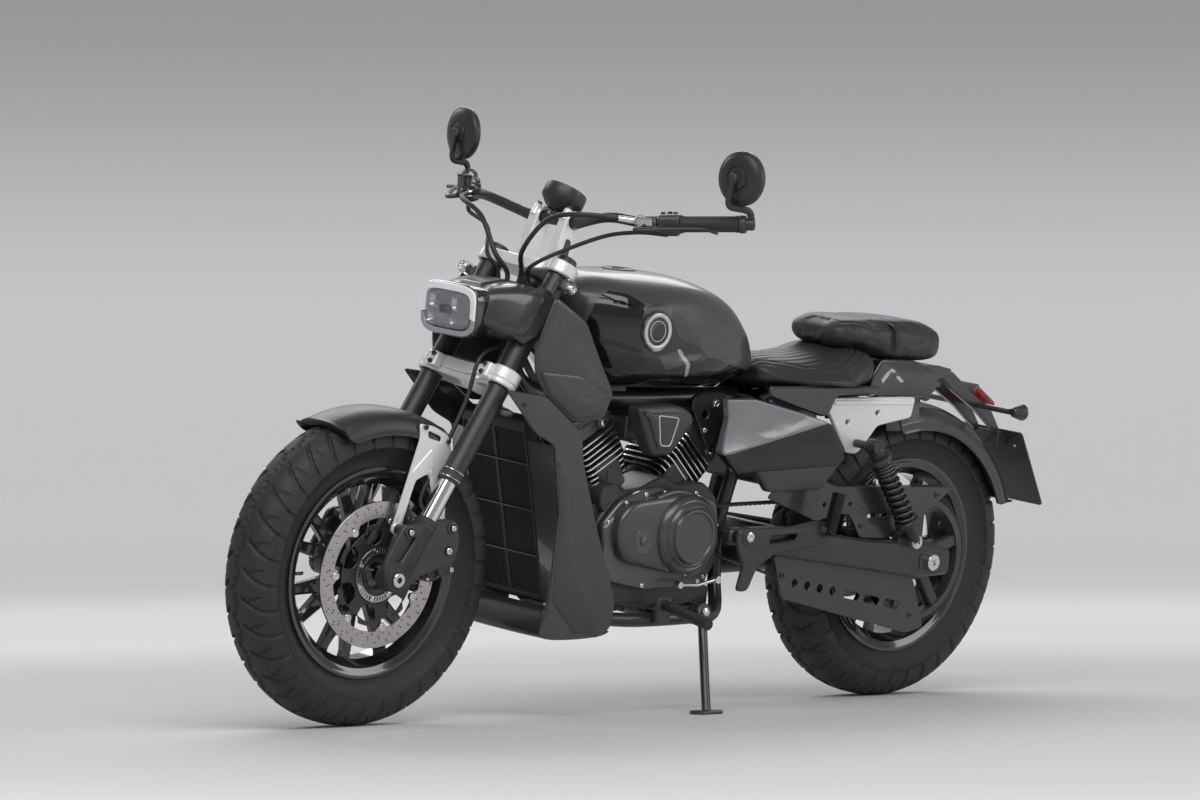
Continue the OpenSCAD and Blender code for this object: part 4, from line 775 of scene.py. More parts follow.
hose_rubber = finish("hose_rubber", (0.017, 0.017, 0.018), 0.48, grain=1600, bump=0.16, wander=0.08)
looms = [
    ([perch + [24, -20, 4], BAR + [96, 190, 30], BAR + [120, 110, 10], fork_point(112, 50, 1078),
      fork_point(62, 24, 1042), fork_point(46, 20, 960), fork_point(44, 18, 900)], 5.2),
    ([perch * [1, -1, 1] + [20, 26, 2], BAR + [104, -180, 22], BAR + [126, -90, -6],
      fork_point(108, -30, 1064), fork_point(60, -14, 1036), fork_point(46, -12, 950),
      fork_point(44, -14, 900)], 5.4),
    ([TIP * [1, -1, 1] - 148 * out * [1, -1, 1] + [0, 0, -22], BAR + [30, -236, -12], BAR + [52, -150, -34],
      fork_point(96, -66, 1066), fork_point(58, -44, 1036), fork_point(46, -40, 960)], 4.4),
    ([TIP - 148 * out + [0, 0, -22], BAR + [4, 250, 2], BAR + [34, 170, -20], fork_point(84, 70, 1064),
      fork_point(56, 46, 1034), fork_point(46, 40, 960)], 4.4),
    ([fork_point(46, 60, 890), fork_point(80, 66, 856), fork_point(92, 70, 820), fork_point(74, 74, 740),
      fork_point(66, 76, 620), fork_point(64, 80, 520), np.array([672, 96, 440]),
      np.array([655, 100, 398])], 4.6),
]
piece("control_cables", [tube(curve(p, 10), r, 12) for p, r in looms], hose_rubber, "steering")
joins = [revolve([(86, 7.5), (110, 7.5), (112, 6)], (655, 0, 395), 18)]
for p, r in looms[:2]:
    line = curve(p, 10)
    joins.append(tube(line[:5], [6.2, 7.0, 7.0, 7.0, 6.2], 16))
piece("hose_ends", joins, bright_steel, "steering")

# --- Mirrors ------------------------------------------------------------------------------------
# Round cast mirrors with a stepped back, each on a flat forged arm that is bolted to the bar's end.
MIRROR = TIP + [20, 10, 94]


def at_mirror(part):
    """Drawn about a fore-and-aft axis, turned 8 degrees and brought to the left mirror's centre."""
    return moved(turned(part, math.radians(8), (0, 0, 0), 2), MIRROR)


back = [(-7, 50.5), (-9, 51.5), (-9, 54.5), (-7, 56), (3, 56), (6, 54.5), (7, 51), (8.5, 49.5), (12, 41),
        (13.5, 33), (14, 27), (12.5, 26), (12.5, 22), (15, 21), (16.5, 18), (16.5, 3)]
arm = curve([TIP + 14.8 * out, TIP + 22 * out + [2, 0, 4], TIP + 25 * out + [14, -2, 26],
             MIRROR + [25, -2, -56], MIRROR + [24, -1, -20], MIRROR + [19, 0, -1]], 7)
wide = np.interp(np.linspace(0, 1, len(arm)), [0, 0.25, 0.5, 0.8, 1], [9.5, 8.5, 7, 8, 9.5])
parts = [at_mirror(revolve(back, (0, 0, 0), 72, axis=0)), tube(arm, wide, 18, 0.55)]
parts.append(moved(revolve([(12, 10.5), (25, 10.5), (27, 8.5)], (0, 0, 0), 30, axis=0), MIRROR))
parts.append(on_bar(revolve([(11, 13), (27, 13), (29, 11), (29, 7), (27, 6)], (0, 0, 0), 30, axis=2)))
piece("mirror_bodies", both(parts), satin_black, "steering", ["mirrors"])
glass = at_mirror(revolve([(-6.8, 50.2), (-7.6, 50.2), (-8.0, 49.4)], (0, 0, 0), 72, axis=0))
piece("mirror_glasses", both([glass]), finish("silvered_glass", (0.86, 0.88, 0.89), 0.02, metal=1.0,
    grain=60, bump=0.003, blotch=0.01, wander=0.01), "steering")

# --- Instrument -----------------------------------------------------------------------------------
# One round moulded pod with a satin ring, a smoked lens and a printed scale with no lettering.
DASH = BAR + [-14, 0, 37.5]


def at_dash(part):
    """Drawn about a vertical axis, then tilted 28 degrees back on top of the bar."""
    return moved(turned(part, math.radians(28)), DASH)


piece("instrument_pod", [at_dash(revolve([(-25, 16), (-24, 20), (-18, 30), (-4, 44), (0, 46), (18, 46),
                                          (22, 45), (22, 40)], (0, 0, 0), 72, axis=2))], cast_black,
                                          "steering", ["instrument"])
piece("instrument_ring", [at_dash(revolve([(21, 39.5), (21, 45.4), (25, 45.0), (26, 43), (26, 40.5),
                                           (21, 39.5)], (0, 0, 0), 72, axis=2))], satin_black, "steering")
marks = []
for i in range(41):
    a = math.radians(-130 + 6.5 * i)
    tick = slab([(31 if i % 5 else 28, -0.5), (36, -0.5), (36, 0.5), (31 if i % 5 else 28, 0.5)], 22.2,
                22.6, 0.1, (), "plan")
    marks.append(at_dash(turned(tick, a, (0, 0, 0), 2)))
marks.append(at_dash(slab(rounded([(-14, -17), (8, -17), (8, 17), (-14, 17)], 3, 3), 22.2, 22.7, 0.1, (),
                          "plan")))
piece("instrument_scale", marks, finish("printed_grey", (0.42, 0.44, 0.46), 0.5, grain=600, bump=0.02),
      "steering")
lens = finish("smoked_lens", (0.012, 0.013, 0.015), 0.06, coat=1.0, grain=200, bump=0.002, blotch=0.02,
              wander=0.02)
piece("instrument_lens", [at_dash(revolve([(20, 40.4), (22, 40.4), (22.1, 39)], (0, 0, 0), 72, axis=2))],
      lens, "steering")

# --- Headlight, its cowl and the front signals ------------------------------------------------------
# A wide rounded lamp in a black shell: a milky running-light bar round the top half, a clear lens
# over dark reflectors. It hangs in a moulded cowl bolted to the fork; crystal signals stand on stalks.
LAMP_X, LAMP_Z = 572.3, 857.0
SQUARENESS = 0.45  # exponent of the lamp's outline: 1 is an ellipse, 0 a rectangle


def lamp_rows(rows, p=SQUARENESS, n=72):
    """Rounded sections along x about the lamp's centre: (offset, half width, half height)."""
    return moved(pod([(x, w, -h, h) for x, w, h in rows], p, n), (LAMP_X, 0, LAMP_Z))


def lamp_rim(half, high, start, end, n=60):
    """Points on the lamp's rounded outline from one angle to another."""
    a = np.radians(np.linspace(start, end, n))
    c, s = np.cos(a), np.sin(a)
    return np.stack([half * np.sign(c) * np.abs(c) ** SQUARENESS,
                     high * np.sign(s) * np.abs(s) ** SQUARENESS], -1)


def lamp_band(start, end, outer, inner, low, high):
    """A strip between two rounded outlines, from one angle to another, closed at its ends."""
    o, i = lamp_rim(*outer, start, end), lamp_rim(*inner, start, end)
    section = ((o * 0.99, low), (o, high - 2), (o * 0.985, high), (i * 1.02, high), (i, high - 2), (i, low))
    rings = np.stack([np.column_stack([np.full(len(o), x), q]) for q, x in section], 1)
    return outward(moved(skin(rings), (LAMP_X, 0, LAMP_Z)))


shell = [lamp_rows([(-70, 40, 30), (-69, 46, 34), (-62, 66, 46), (-40, 78, 51), (-24, 83, 53),
                    (0, 86, 54.5), (10, 86, 54.5), (12, 84, 53), (12, 80, 49), (6, 79, 48), (-14, 72, 42)])]
shell.append(moved(pod([(-98, 36, -20, 16), (-96, 40, -22, 18), (-66, 40, -22, 18)], 0.5),
                   (LAMP_X, 0, LAMP_Z)))
piece("headlight_shell", shell, gloss_black, "steering", ["headlight"])
milk = finish("milky_polycarbonate", (0.80, 0.81, 0.83), 0.22, grain=700, bump=0.02, blotch=0.02)
piece("headlight_light_bar", [lamp_band(-4, 184, (83.6, 52.4), (70, 38), 2, 17)], milk, "steering")
silver = finish("lamp_bezel_silver", (0.42, 0.43, 0.45), 0.3, metal=0.8, grain=900, bump=0.05, blotch=0.05)
piece("headlight_lower_bezel", [lamp_band(185, 355, (83.6, 52.4), (71, 41), 0, 14)], silver, "steering")
bright = finish("vacuum_plated_reflector", (0.74, 0.75, 0.77), 0.12, metal=1.0, grain=90, bump=0.25,
                blotch=0.04, relief=0.002)
bowls = []
for s in (-1, 1):
    for h, high in ((13, 17), (-19, 17)):
        cup = pod([(-12, 6, -4, 4), (-10, 14, -7, 7), (-4, 26, -12, 12), (6, 31, -high + 2, high - 2),
                   (7, 32, -high + 1, high - 1), (4, 32, -high + 1, high - 1),
                   (-12, 30, -high + 3, high - 3)], 0.5)
        bowls.append(moved(cup, (LAMP_X - 1, 34 * s, LAMP_Z + h)))
piece("headlight_reflectors", bowls, bright, "steering")
trim_dark = [moved(pod([(-14, 68, -38, 38), (-5, 70, -40, 40), (-4, 69, -39, 39)], 0.45),
                   (LAMP_X, 0, LAMP_Z)),
             moved(pod([(-4, 66, -3.4, 3.4), (9, 66, -2.6, 2.6), (10, 65, -2, 2)], 0.4),
                   (LAMP_X, 0, LAMP_Z - 3)),
             moved(pod([(-4, 2.6, -36, 36), (9, 2.2, -35, 35), (10, 1.6, -34, 34)], 0.4),
                   (LAMP_X, 0, LAMP_Z - 2))]
piece("headlight_inner_trim", trim_dark, satin_black, "steering")


def clear(name, tone, rough=0.03):
    """Clear moulded plastic: light passes through it, with a faint waviness in the surface."""
    mat = finish(name, tone, rough, grain=30, bump=0.02, blotch=0.01, wander=0.01)
    shader = mat.node_tree.nodes["Principled BSDF"]
    shader.inputs["Transmission Weight"].default_value = 0.94
    shader.inputs["IOR"].default_value = 1.45
    return mat


clear_lens = clear("clear_polycarbonate", (0.93, 0.94, 0.96))
piece("headlight_lens", [lamp_rows([(11.5, 69.6, 39.6), (13, 69.8, 40), (15, 68, 38.5), (18, 58, 30),
                                    (19.5, 40, 19), (20, 20, 9), (17.6, 20, 9), (17, 40, 19),
                                    (15.6, 58, 30), (13, 66, 37)])], clear_lens, "steering")
mould = finish("moulded_black_panel", (0.022, 0.022, 0.024), 0.34, coat=0.5, grain=1100, bump=0.10,
               worn=(0.06, 0.06, 0.06))
rows = [(63.5, 131, 893, 1020), (66, 133, 891, 1022), (80, 130, 887, 1019), (96, 119, 884, 1010),
        (110, 107, 883, 1001), (140, 89, 880, 976), (156, 80, 881, 960), (160, 76, 884, 956)]
cowl = [on_fork(pod(rows, 0.42, 56))]
cheek = [(62, 892), (107, 904), (119, 952), (83, 1019), (55, 1020), (33, 1004), (41, 922)]
CHEEK_R, CHEEK_Y = 149.5, 133.5


def cheek_bend(x, z):
    """The cheeks bend in round the steering axis: y = min(0, sqrt(R^2 - x^2) - y0)."""
    return np.minimum(0, np.sqrt(np.maximum(CHEEK_R**2 - x**2, 0)) - CHEEK_Y)


cowl += [on_fork(slab(rounded(cheek, 10, 4), 128.4, 133.2, 1.4, (), "side", cheek_bend))]
cowl += [mirrored(cowl[-1])]
ridge = [(64, 1021), (66, 1026), (100, 1012), (150, 974), (158, 958), (150, 958), (80, 1008)]
cowl.append(on_fork(slab(rounded(ridge, 4, 3), -34, 34, 5)))
piece("headlight_cowl_shell", cowl, mould, "steering", ["headlight_cowl"])
SIGNAL = (0, 160, 1043)
stalks = [on_fork(revolve([(124, 9), (134, 9), (138, 7), (146, 7.4), (156, 8)], (46, 0, 1043), 24)),
          on_fork(revolve([(26, 6), (28, 9.5), (34, 11.5), (36, 11.5)], SIGNAL, 36, axis=0)),
          on_fork(slab(rounded([(34, 1006), (56, 1006), (56, 1050), (38, 1050)], 6, 3), 126, 131, 1.4))]
piece("front_signal_stalks", both(stalks), satin_black, "steering")
crystal = [on_fork(revolve([(35, 11.5), (40, 13.2), (48, 15), (52, 15), (58, 13.6), (62, 11), (64, 8.4)],
                           SIGNAL, 18, axis=0))]
piece("front_signal_lenses", both(crystal), clear_lens, "steering", smooth=12)
cores = [on_fork(revolve([(36, 10.5), (38, 10.5), (40, 6), (46, 4.2), (52, 3.6), (53, 2)], SIGNAL, 18,
                         axis=0))]
piece("front_signal_cores", both(cores), bright, "steering", smooth=12)

# --- Frame ----------------------------------------------------------------------------------------
# Welded steel tube in satin black: a steering head, one backbone under the tank and a cradle down
# each side that closes behind the engine, with pressed plates welded on where things bolt up.


def body_tube(points, r, sides=18, steps=6):
    """A round tube along the smooth curve through the points."""
    return tube(curve(points, steps), r, sides)


head = [(840, 30.5), (846, 32), (858, 32), (862, 29), (1042, 29), (1046, 32), (1058, 32), (1064, 30.5)]
frame_parts = [on_fork(revolve(head, (0, 0, 0), 48, axis=2)),
               body_tube([fork_point(-20, 0, 905), (388, 0, 712), (330, 0, 680), (240, 0, 672),
                          (120, 0, 669), (-90, 0, 668), (-250, 0, 668)], 26, 24),
               slab(rounded([(80, 680), (130, 680), (130, 699.2), (80, 699.2)], 3, 2), -18, 18, 1.5),
               revolve([(-118, 12), (118, 12)], (-10, 0, 216), 20),
               revolve([(-100, 12), (100, 12)], (-150, 0, 222), 20)]
for s in (-1, 1):
    frame_parts.append(body_tube([fork_point(-18, 14 * s, 866), (372, s * 62, 640), (300, s * 100, 520),
                                  (236, s * 118, 330), (196, s * 118, 236), (120, s * 118, 216),
                                  (-60, s * 118, 216), (-150, s * 108, 222), (-186, s * 66, 290),
                                  (-181, s * 66, 395), (-200, s * 66, 480), (-236, s * 66, 600),
                                  (-250, s * 60, 664), (-250, s * 8, 668)], 15, 20))
    y = sorted((s * 28, s * 34))
    frame_parts.append(slab(rounded([(388, 800), (300, 690), (220, 682), (300, 716), (356, 790),
                                     (390, 850)], 8, 3), y[0], y[1], 1.5))
    hanger = rounded([(-66, 690), (-150, 692), (-160, 668), (-138, 590), (-120, 572), (-104, 580),
                      (-70, 640), (-52, 668)], 14, 4)
    y = sorted((s * 78, s * 84))
    frame_parts.append(slab(hanger, y[0], y[1], 1.8, [arc(-96, 646, 9, n=18)]))
    frame_parts.append(revolve([(s * 24, 13), (s * 86, 13)], (-122, 0, 668), 18))
    frame_parts.append(slab(rounded([(-208, 440), (-156, 440), (-146, 380), (-160, 350), (-206, 350)], 8,
                                    3), *sorted((s * 54, s * 62)), 1.8))
frame_parts.append(slab(rounded([(-112, 208), (-54, 208), (-54, 240), (-112, 240)], 5, 3), 108, 122, 1.8))
hub_turn = math.atan2(0.981, 0.192)


def at_stand(part):
    """Drawn about a vertical axis, then laid over so that the axis is the side stand's pivot."""
    return moved(turned(part, -hub_turn, (0, 0, 0), 0), (-78, 148, 232))


frame_parts += [at_stand(revolve([(-28, 15), (-26, 17), (-11.5, 17), (-9.5, 15)], (0, 0, 0), 32, axis=2)),
                at_stand(revolve([(-28, 6), (16, 6)], (0, 0, 0), 24, axis=2))]
frame_steel = finish("satin_black_frame_paint", (0.017, 0.017, 0.018), 0.36, coat=0.3, grain=900, bump=0.12,
                     worn=(0.06, 0.06, 0.06))
piece("frame_tubes", frame_parts, frame_steel, "chassis", ["main_frame"])
studs = [at_stand(revolve([(11.5, 10), (15.5, 10), (16.5, 8.5)], (0, 0, 0), 6, axis=2))]
for s in (-1, 1):
    studs += [bolt(-122, 668, s * 85, 9.5, s, 6), bolt(-96, 612, s * 83.5, 6.5, s)]
piece("frame_bolts", studs, bright_steel, "chassis")

# --- Engine cases ---------------------------------------------------------------------------------
# Die-cast aluminium halves in satin black enamel, split down the middle. Thick side covers in a
# dark grey satin finish are held round their rims by small plated bolts.


def stadium(a, ra, b, rb, n=30):
    """Outline round two circles, joined by the lines that touch both."""
    a, b = np.array(a, float), np.array(b, float)
    d = b - a
    way = math.atan2(d[1], d[0])
    open_by = math.acos(max(-1, min(1, (ra - rb) / np.linalg.norm(d))))
    t = np.linspace(way + open_by, way + 2 * np.pi - open_by, n)
    u = np.linspace(way - open_by, way + open_by, n)
    return np.concatenate([np.column_stack([a[0] + ra * np.cos(t), a[1] + ra * np.sin(t)]),
                           np.column_stack([b[0] + rb * np.cos(u), b[1] + rb * np.sin(u)])])


def panel(outline, low, high, bulge=5.0, roll=5.0, centre=None, rings=8):
    """A soft-faced cover: its outline rises from low to high round a quarter-circle rim, then
    shrinks towards a centre while a parabola lifts it by the bulge; its back is flat."""
    loop = np.asarray(outline, float)
    side = 1 if high > low else -1
    t = np.linspace(0, np.pi / 2, 4)
    rows = [(loop, np.full(len(loop), float(low)))]
    rows += [(inset(loop, roll * (1 - math.cos(q))), np.full(len(loop),
        high - side * roll * (1 - math.sin(q)))) for q in t]
    edge = rows[-1][0]
    c = edge.mean(0) if centre is None else np.asarray(centre, float)
    for k in np.linspace(1, 0.06, rings)[1:]:
        rows.append((c + (edge - c) * k, np.full(len(loop), high + side * bulge * (1 - k * k))))
    return outward(skin(np.stack([np.column_stack([p[:, 0], y, p[:, 1]]) for p, y in rows])))


engine_enamel = finish("engine_black_enamel", (0.022, 0.022, 0.023), 0.44, grain=800, bump=0.32,
                       worn=(0.09, 0.09, 0.09))
case = rounded([(196, 300), (178, 250), (60, 238), (-110, 244), (-138, 300), (-142, 470), (-96, 504),
                (-20, 498), (20, 520), (92, 492), (150, 488), (206, 420)], 16, 4)
case_parts = [slab(case, -97, -2, 4), slab(case, 2, 97, 4), slab(inset(case, 2.4), -4, 4, 0.5)]
for x in np.arange(-90, 160, 22):
    case_parts.append(slab(rounded([(x, 228), (x + 5, 228), (x + 5, 262), (x, 262)], 1.5, 2), -82, 82, 1))
case_parts += [slab(rounded([(-32, 228.2), (12, 228.2), (12, 248), (-32, 248)], 4, 2), -102, 102, 2),
               slab(rounded([(-160, 234.2), (-130, 234.2), (-130, 274), (-160, 274)], 4, 2), -78, 78, 2),
               revolve([(-60, 34), (-56, 38), (56, 38), (60, 34)], (196, 0, 466), 36),
               revolve([(20, 30), (24, 33), (92, 33), (96, 30)], (168, 0, 470), 32),
               slab(rounded([(186, 300), (226, 312), (232, 372), (222, 404), (190, 410)], 10, 4), -62, 62,
                    5)]
for s in (-1, 1):
    case_parts.append(slab(rounded([(150, 470), (232, 452), (244, 430), (226, 414), (170, 418)], 8, 3),
                           *sorted((s * 70, s * 84)), 2, [arc(228, 434, 5, n=12)]))
piece("crankcase_halves", case_parts, engine_enamel, "chassis", ["crankcase"])
cover_grey = finish("dark_grey_satin_cover", (0.062, 0.063, 0.066), 0.33, metal=0.35, coat=0.35, grain=900,
                    bump=0.10, blotch=0.10, worn=(0.16, 0.16, 0.165))
flange = rounded([(196, 316), (184, 300), (60, 276), (-104, 284), (-138, 326), (-142, 400), (-128, 462),
                  (-60, 486), (-20, 478), (40, 496), (100, 488), (150, 470), (200, 420)], 14, 4)
oval = stadium((-25, 397), 88, (102, 402), 70)
left = [slab(flange, 98.3, 112, 3), panel(oval, 111, 134, 3, 12, (-10, 398)),
        revolve([(120, 87), (138, 86), (146, 80), (150, 76), (151, 73), (150, 70.5), (156, 66), (158, 62),
                 (157, 60), (163, 57), (164, 54), (163.2, 51), (160.5, 49), (160, 2)], (-25, 0, 397), 96),
        slab(stadium((100, 378), 21, (101, 392), 21, 16), 133, 136, 1.0),
        revolve([(135, 9.5), (139, 9.5), (140, 8)], (101, 0, 386), 6)]
arm_line = curve([(60, 474), (10, 486), (-40, 480), (-72, 462)], 6)
left.append(tube(np.column_stack([arm_line[:, 0], np.full(len(arm_line), 122.0), arm_line[:, 1]]), 6.5, 14))
piece("left_engine_covers", left, cover_grey, "chassis", ["engine_covers"])
step = rounded([(200, 412), (196, 322), (168, 308), (160, 352), (168, 440)], 8, 3)
right = [slab(flange * [1, 1], -112.3, -98.3, 3), revolve([(-110, 96), (-136, 95), (-144, 90), (-147, 84),
    (-146, 80), (-149.5, 74), (-150, 70), (-148, 66), (-147, 2)], (-40, 0, 390), 96),
         revolve([(-110, 70), (-130, 69), (-136, 64), (-138, 58), (-136.5, 52), (-136, 2)], (96, 0, 400),
                 80), slab(step, 98.4, 116, 4), slab(step, -116, -98.4, 4)]
piece("right_engine_covers", right, cover_grey, "chassis")
rim = inset(flange, 8.5)
pick = rim[np.unique(np.searchsorted(np.cumsum(np.r_[0, np.linalg.norm(np.diff(rim, axis=0), axis=1)]),
                                     np.arange(0, 1000, 62)))[:16] % len(rim)]
case_bolts = [bolt(x, z, 111.5, 5.2) for x, z in pick] + [bolt(x, z, -112, 5.2, -1) for x, z in pick]
case_bolts += [bolt(228, 434, s * 83, 7, s) for s in (-1, 1)] + [bolt(-32 + 90 * math.cos(q),
    397 + 90 * math.sin(q), 112, 4.6) for q in (1.9, 2.5, 3.9, 4.5)]
piece("engine_cover_bolts", case_bolts, bright_steel, "chassis")

# --- Cylinders ------------------------------------------------------------------------------------
# Two finned barrels 75 degrees apart in black enamel, the fins' rims milled bright after painting.
# Heads, rocker covers and square chain tunnels are bolted on.
CRANK = (70.0, 404.0)


def on_cylinder(part, degrees):
    """Drawn with z up along the cylinder from the crank, then leaned fore or aft round it."""
    a = math.radians(degrees)
    v, f = part
    c, s = math.cos(a), math.sin(a)
    x = v[:, 0] * c + v[:, 2] * s + CRANK[0] + np.sign(a) * 12
    return outward((np.stack([x, v[:, 1], v[:, 2] * c - v[:, 0] * s + CRANK[1]], -1), f))


fin = rounded([(-66, -50), (-50, -72), (50, -72), (66, -50), (66, 50), (50, 72), (-50, 72), (-66, 50)], 9,
              3)
barrels, rims, heads, head_bolts = [], [], [], []
for a in (31, -44):
    barrels.append(on_cylinder(revolve([(98, 52), (104, 56), (246, 56)], (0, 0, 0), 48, axis=2), a))
    for s in (-1, 1):
        low_block = pod([(92, 26, 12, 66), (96, 30, 10, 70), (120, 34, 10, 73), (150, 36, 10, 73),
                         (170, 34, 10, 70)], 0.3, 32, axis=2)
        low_block = (low_block[0] * [1, s, 1], low_block[1] if s > 0 else [f[:, ::-1]
            for f in low_block[1]])
        barrels.append(on_cylinder(low_block, a))
        rib = slab(rounded([(-26, 100), (26, 100), (28, 112), (6, 150), (-6, 150), (-28, 112)], 5, 3),
                   *sorted((s * 71, s * 75)), 1.2)
        barrels.append(on_cylinder(rib, a))
    for i in range(9):
        low = 118 + 13 * i
        k = 0.90 + 0.10 * min(i, 3) / 3
        barrels.append(on_cylinder(slab(fin * k, low, low + 5, 1.0, (), "plan"), a))
        if i > 0:
            rims.append(on_cylinder(slab(inset(fin * k, -0.5), low + 0.9, low + 4.1, 0.3,
                                         [inset(fin * k, 3)], "plan"), a))
    heads.append(on_cylinder(slab(rounded([(-56, -62), (56, -62), (56, 62), (-56, 62)], 12, 4), 232, 260, 3,
                                  (), "plan"), a))
    heads.append(on_cylinder(pod([(258, 50, -56, 56), (262, 52, -58, 58), (272, 48, -54, 54),
                                  (278, 40, -46, 46), (279, 34, -40, 40)], 0.4, 40, axis=2), a))
    for x, y in ((-46, -50), (46, -50), (-46, 50), (46, 50)):
        head_bolts.append(on_cylinder(revolve([(259, 7), (266, 7), (267.5, 5.6), (267.5, 3.4), (263, 3)],
                                              (x, y, 0), 14, axis=2), a))
    for s in (-1, 1):
        heads.append(on_cylinder(revolve([(s * 58, 13), (s * 70, 13), (s * 73, 10), (s * 73, 4)],
                                         (-24, 0, 248), 28), a))
        head_bolts.append(on_cylinder(revolve([(s * 70, 7), (s * 74, 7), (s * 75, 5)], (-24, 0, 248), 12),
                                      a))
piece("finned_barrels", barrels, engine_enamel, "chassis", ["cylinders"])
piece("milled_fin_rims", rims, finish("milled_fin_edge", (0.66, 0.66, 0.66), 0.24, metal=1.0, grain=1100,
                                      bump=0.10, blotch=0.08, stretch=(1, 6, 1)), "chassis")
piece("cylinder_heads", heads, cover_grey, "chassis")
piece("cylinder_head_bolts", head_bolts, bright_steel, "chassis")

# --- Air cleaner ----------------------------------------------------------------------------------
# A moulded filter box in the vee, with a rounded five-sided cover on each side that carries a thin
# inlaid line; the throttle body and its clamps sit behind.
mould_grey = finish("moulded_dark_grey", (0.034, 0.035, 0.037), 0.38, grain=1500, bump=0.22, blotch=0.12,
                    worn=(0.07, 0.07, 0.07))
air = rounded([(120, 676), (52, 677), (14, 664), (0, 642), (60, 569), (116, 569), (166, 664), (160, 674)],
              16, 5)
shield = rounded([(118, 658), (56, 652), (76, 590), (106, 592)], 9, 4)
filter_parts = []
for s in (-1, 1):
    filter_parts += [panel(air, s * 118, s * 156, 5, 12, (70, 622)),
                     panel(inset(air, 15), s * 152, s * 162, 1.5, 4, (72, 622)),
                     slab(rounded([(110, 660), (60, 660), (56, 612), (86, 604)], 8, 3),
                          *sorted((s * 56, s * 120)), 3)]
filter_parts += [slab(rounded([(20, 590), (110, 590), (110, 642), (20, 642)], 8, 3), -60, 60, 4),
                 revolve([(-52, 26), (52, 26)], (66, 0, 606), 32)]
piece("air_cleaner", filter_parts, mould_grey, "chassis", ["intake_covers"])
lines = [slab(shield, *sorted((s * 161, s * 164.4)), 0.5, [inset(shield, 2.6)]) for s in (-1, 1)]
piece("air_cleaner_line", lines, finish("inlaid_light_grey", (0.55, 0.56, 0.56), 0.35, metal=0.4, grain=700,
                                        bump=0.05), "chassis")

# --- Radiator ---------------------------------------------------------------------------------------
# An upright aluminium core behind the front wheel in two columns of dark fins, crossed by three
# guard wires, with pressed tanks above and below and a rubber hose at each end.
face = np.array([436.0, 632.0]), np.array([336.0, 256.0])
along = (face[1] - face[0]) / np.linalg.norm(face[1] - face[0])
ahead = np.array([-along[1], along[0]])


def on_core(low, high, back, front):
    """A strip of the core's side view: from one distance below the top to another, and from one
    depth to another."""
    return np.array([face[0] + along * low + ahead * back, face[0] + along * low + ahead * front,
                     face[0] + along * high + ahead * front, face[0] + along * high + ahead * back])


core = [slab(on_core(14, 376, -34, -4), -96, 96, 1),
        slab(rounded(on_core(-6, 20, -36, 2), 5, 3), -98, 98, 2),
        slab(rounded(on_core(372, 390, -34, 2), 5, 3), -98, 98, 2),
        slab(on_core(10, 380, -30, 1.5), -5, 5, 1), slab(on_core(10, 380, -30, 1), -98, -93, 1),
        slab(on_core(10, 380, -30, 1), 93, 98, 1)]
radiator_black = finish("radiator_black", (0.012, 0.012, 0.013), 0.5, grain=1200, bump=0.2)
piece("radiator_core", core, radiator_black, "chassis", ["radiator"])
fins = []
for y in np.concatenate([np.arange(-91, -7, 3.1), np.arange(8, 92, 3.1)]):
    fins.append(slab(on_core(20, 372, -6, 0.0), y, y + 1.1, 0.2))
piece("radiator_fins", fins, finish("dark_radiator_fin", (0.045, 0.045, 0.047), 0.38, metal=0.6, grain=900,
                                    bump=0.1), "chassis")
wires = [slab(on_core(k, k + 3, 1, 3.4), -97, 97, 0.5) for k in (86, 186, 286)]
hose_top = body_tube([(400, -70, 622), (372, -74, 632), (330, -72, 622), (280, -60, 590), (250, -40, 560)],
                     15, 18)
hose_low = body_tube([(318, 60, 282), (290, 66, 290), (262, 64, 320), (240, 50, 350)], 15, 18)
piece("radiator_wires", wires, finish("radiator_wire", (0.10, 0.10, 0.105), 0.34, metal=0.8, grain=700,
                                      bump=0.05), "chassis")
piece("coolant_hoses", [hose_top, hose_low], hose_rubber, "chassis")

# --- Radiator cowl and side shrouds -----------------------------------------------------------------
# Moulded covers in satin black: long side blades that wrap the radiator and close in a chin below
# it, and two bowed shrouds beside the tank's nose, held by button screws.


def ribbon(one, two, t):
    """A sheet of thickness t between two lines of points, thickened square to itself."""
    a, b = np.asarray(one, float), np.asarray(two, float)
    n = np.cross(b - a, np.gradient((a + b) / 2, axis=0))
    n /= np.maximum(np.linalg.norm(n, axis=1), 1e-9)[:, None]
    return outward(skin(np.stack([a, b, b + n * t, a + n * t], 1)))


blade = rounded([(552, 712), (459, 621), (404, 596), (374, 452), (378, 262), (400, 204), (388, 192),
                 (229, 190), (198, 208), (190, 262), (262, 420), (318, 560), (330, 623), (361, 644.7),
                 (440, 699.6)], 12, 4)
crease = rounded([(392, 570), (372, 440), (372, 270), (300, 200), (236, 204), (330, 380), (366, 560)], 10,
                 4)
cowl_parts = []
for s in (-1, 1):
    cowl_parts += [slab(blade, *sorted((s * 158, s * 163.5)), 2.2),
                   panel(crease, s * 162, s * 165.5, 1.2, 3, (338, 330))]
    edge = np.array([(404, 596), (389, 520), (375, 452), (375, 360), (378, 262), (392, 220)], float)
    core_edge = np.array([(424, 598), (403, 520), (385, 452), (361, 360), (338, 268), (330, 246)], float)
    cowl_parts.append(ribbon([(x, s * 159, z) for x, z in curve(edge, 4)],
                             [(x, s * 102, z) for x, z in curve(core_edge, 4)], 3.0))
chin = curve([(346, 250), (366, 236), (384, 206), (372, 190.5), (300, 187.5), (229, 191), (200, 199)], 5)
y = np.linspace(-159, 159, 25)
bow = 6 * (1 - (y / 159) ** 2)
grid = np.stack([np.column_stack([chin[:, 0] + b, np.full(len(chin), q), chin[:, 1] - 0.2 * b])
                 for q, b in zip(y, bow)])
inner = grid + [-2.5, 0, 3.0]
loop = np.concatenate([grid, inner[:, ::-1]], axis=1)
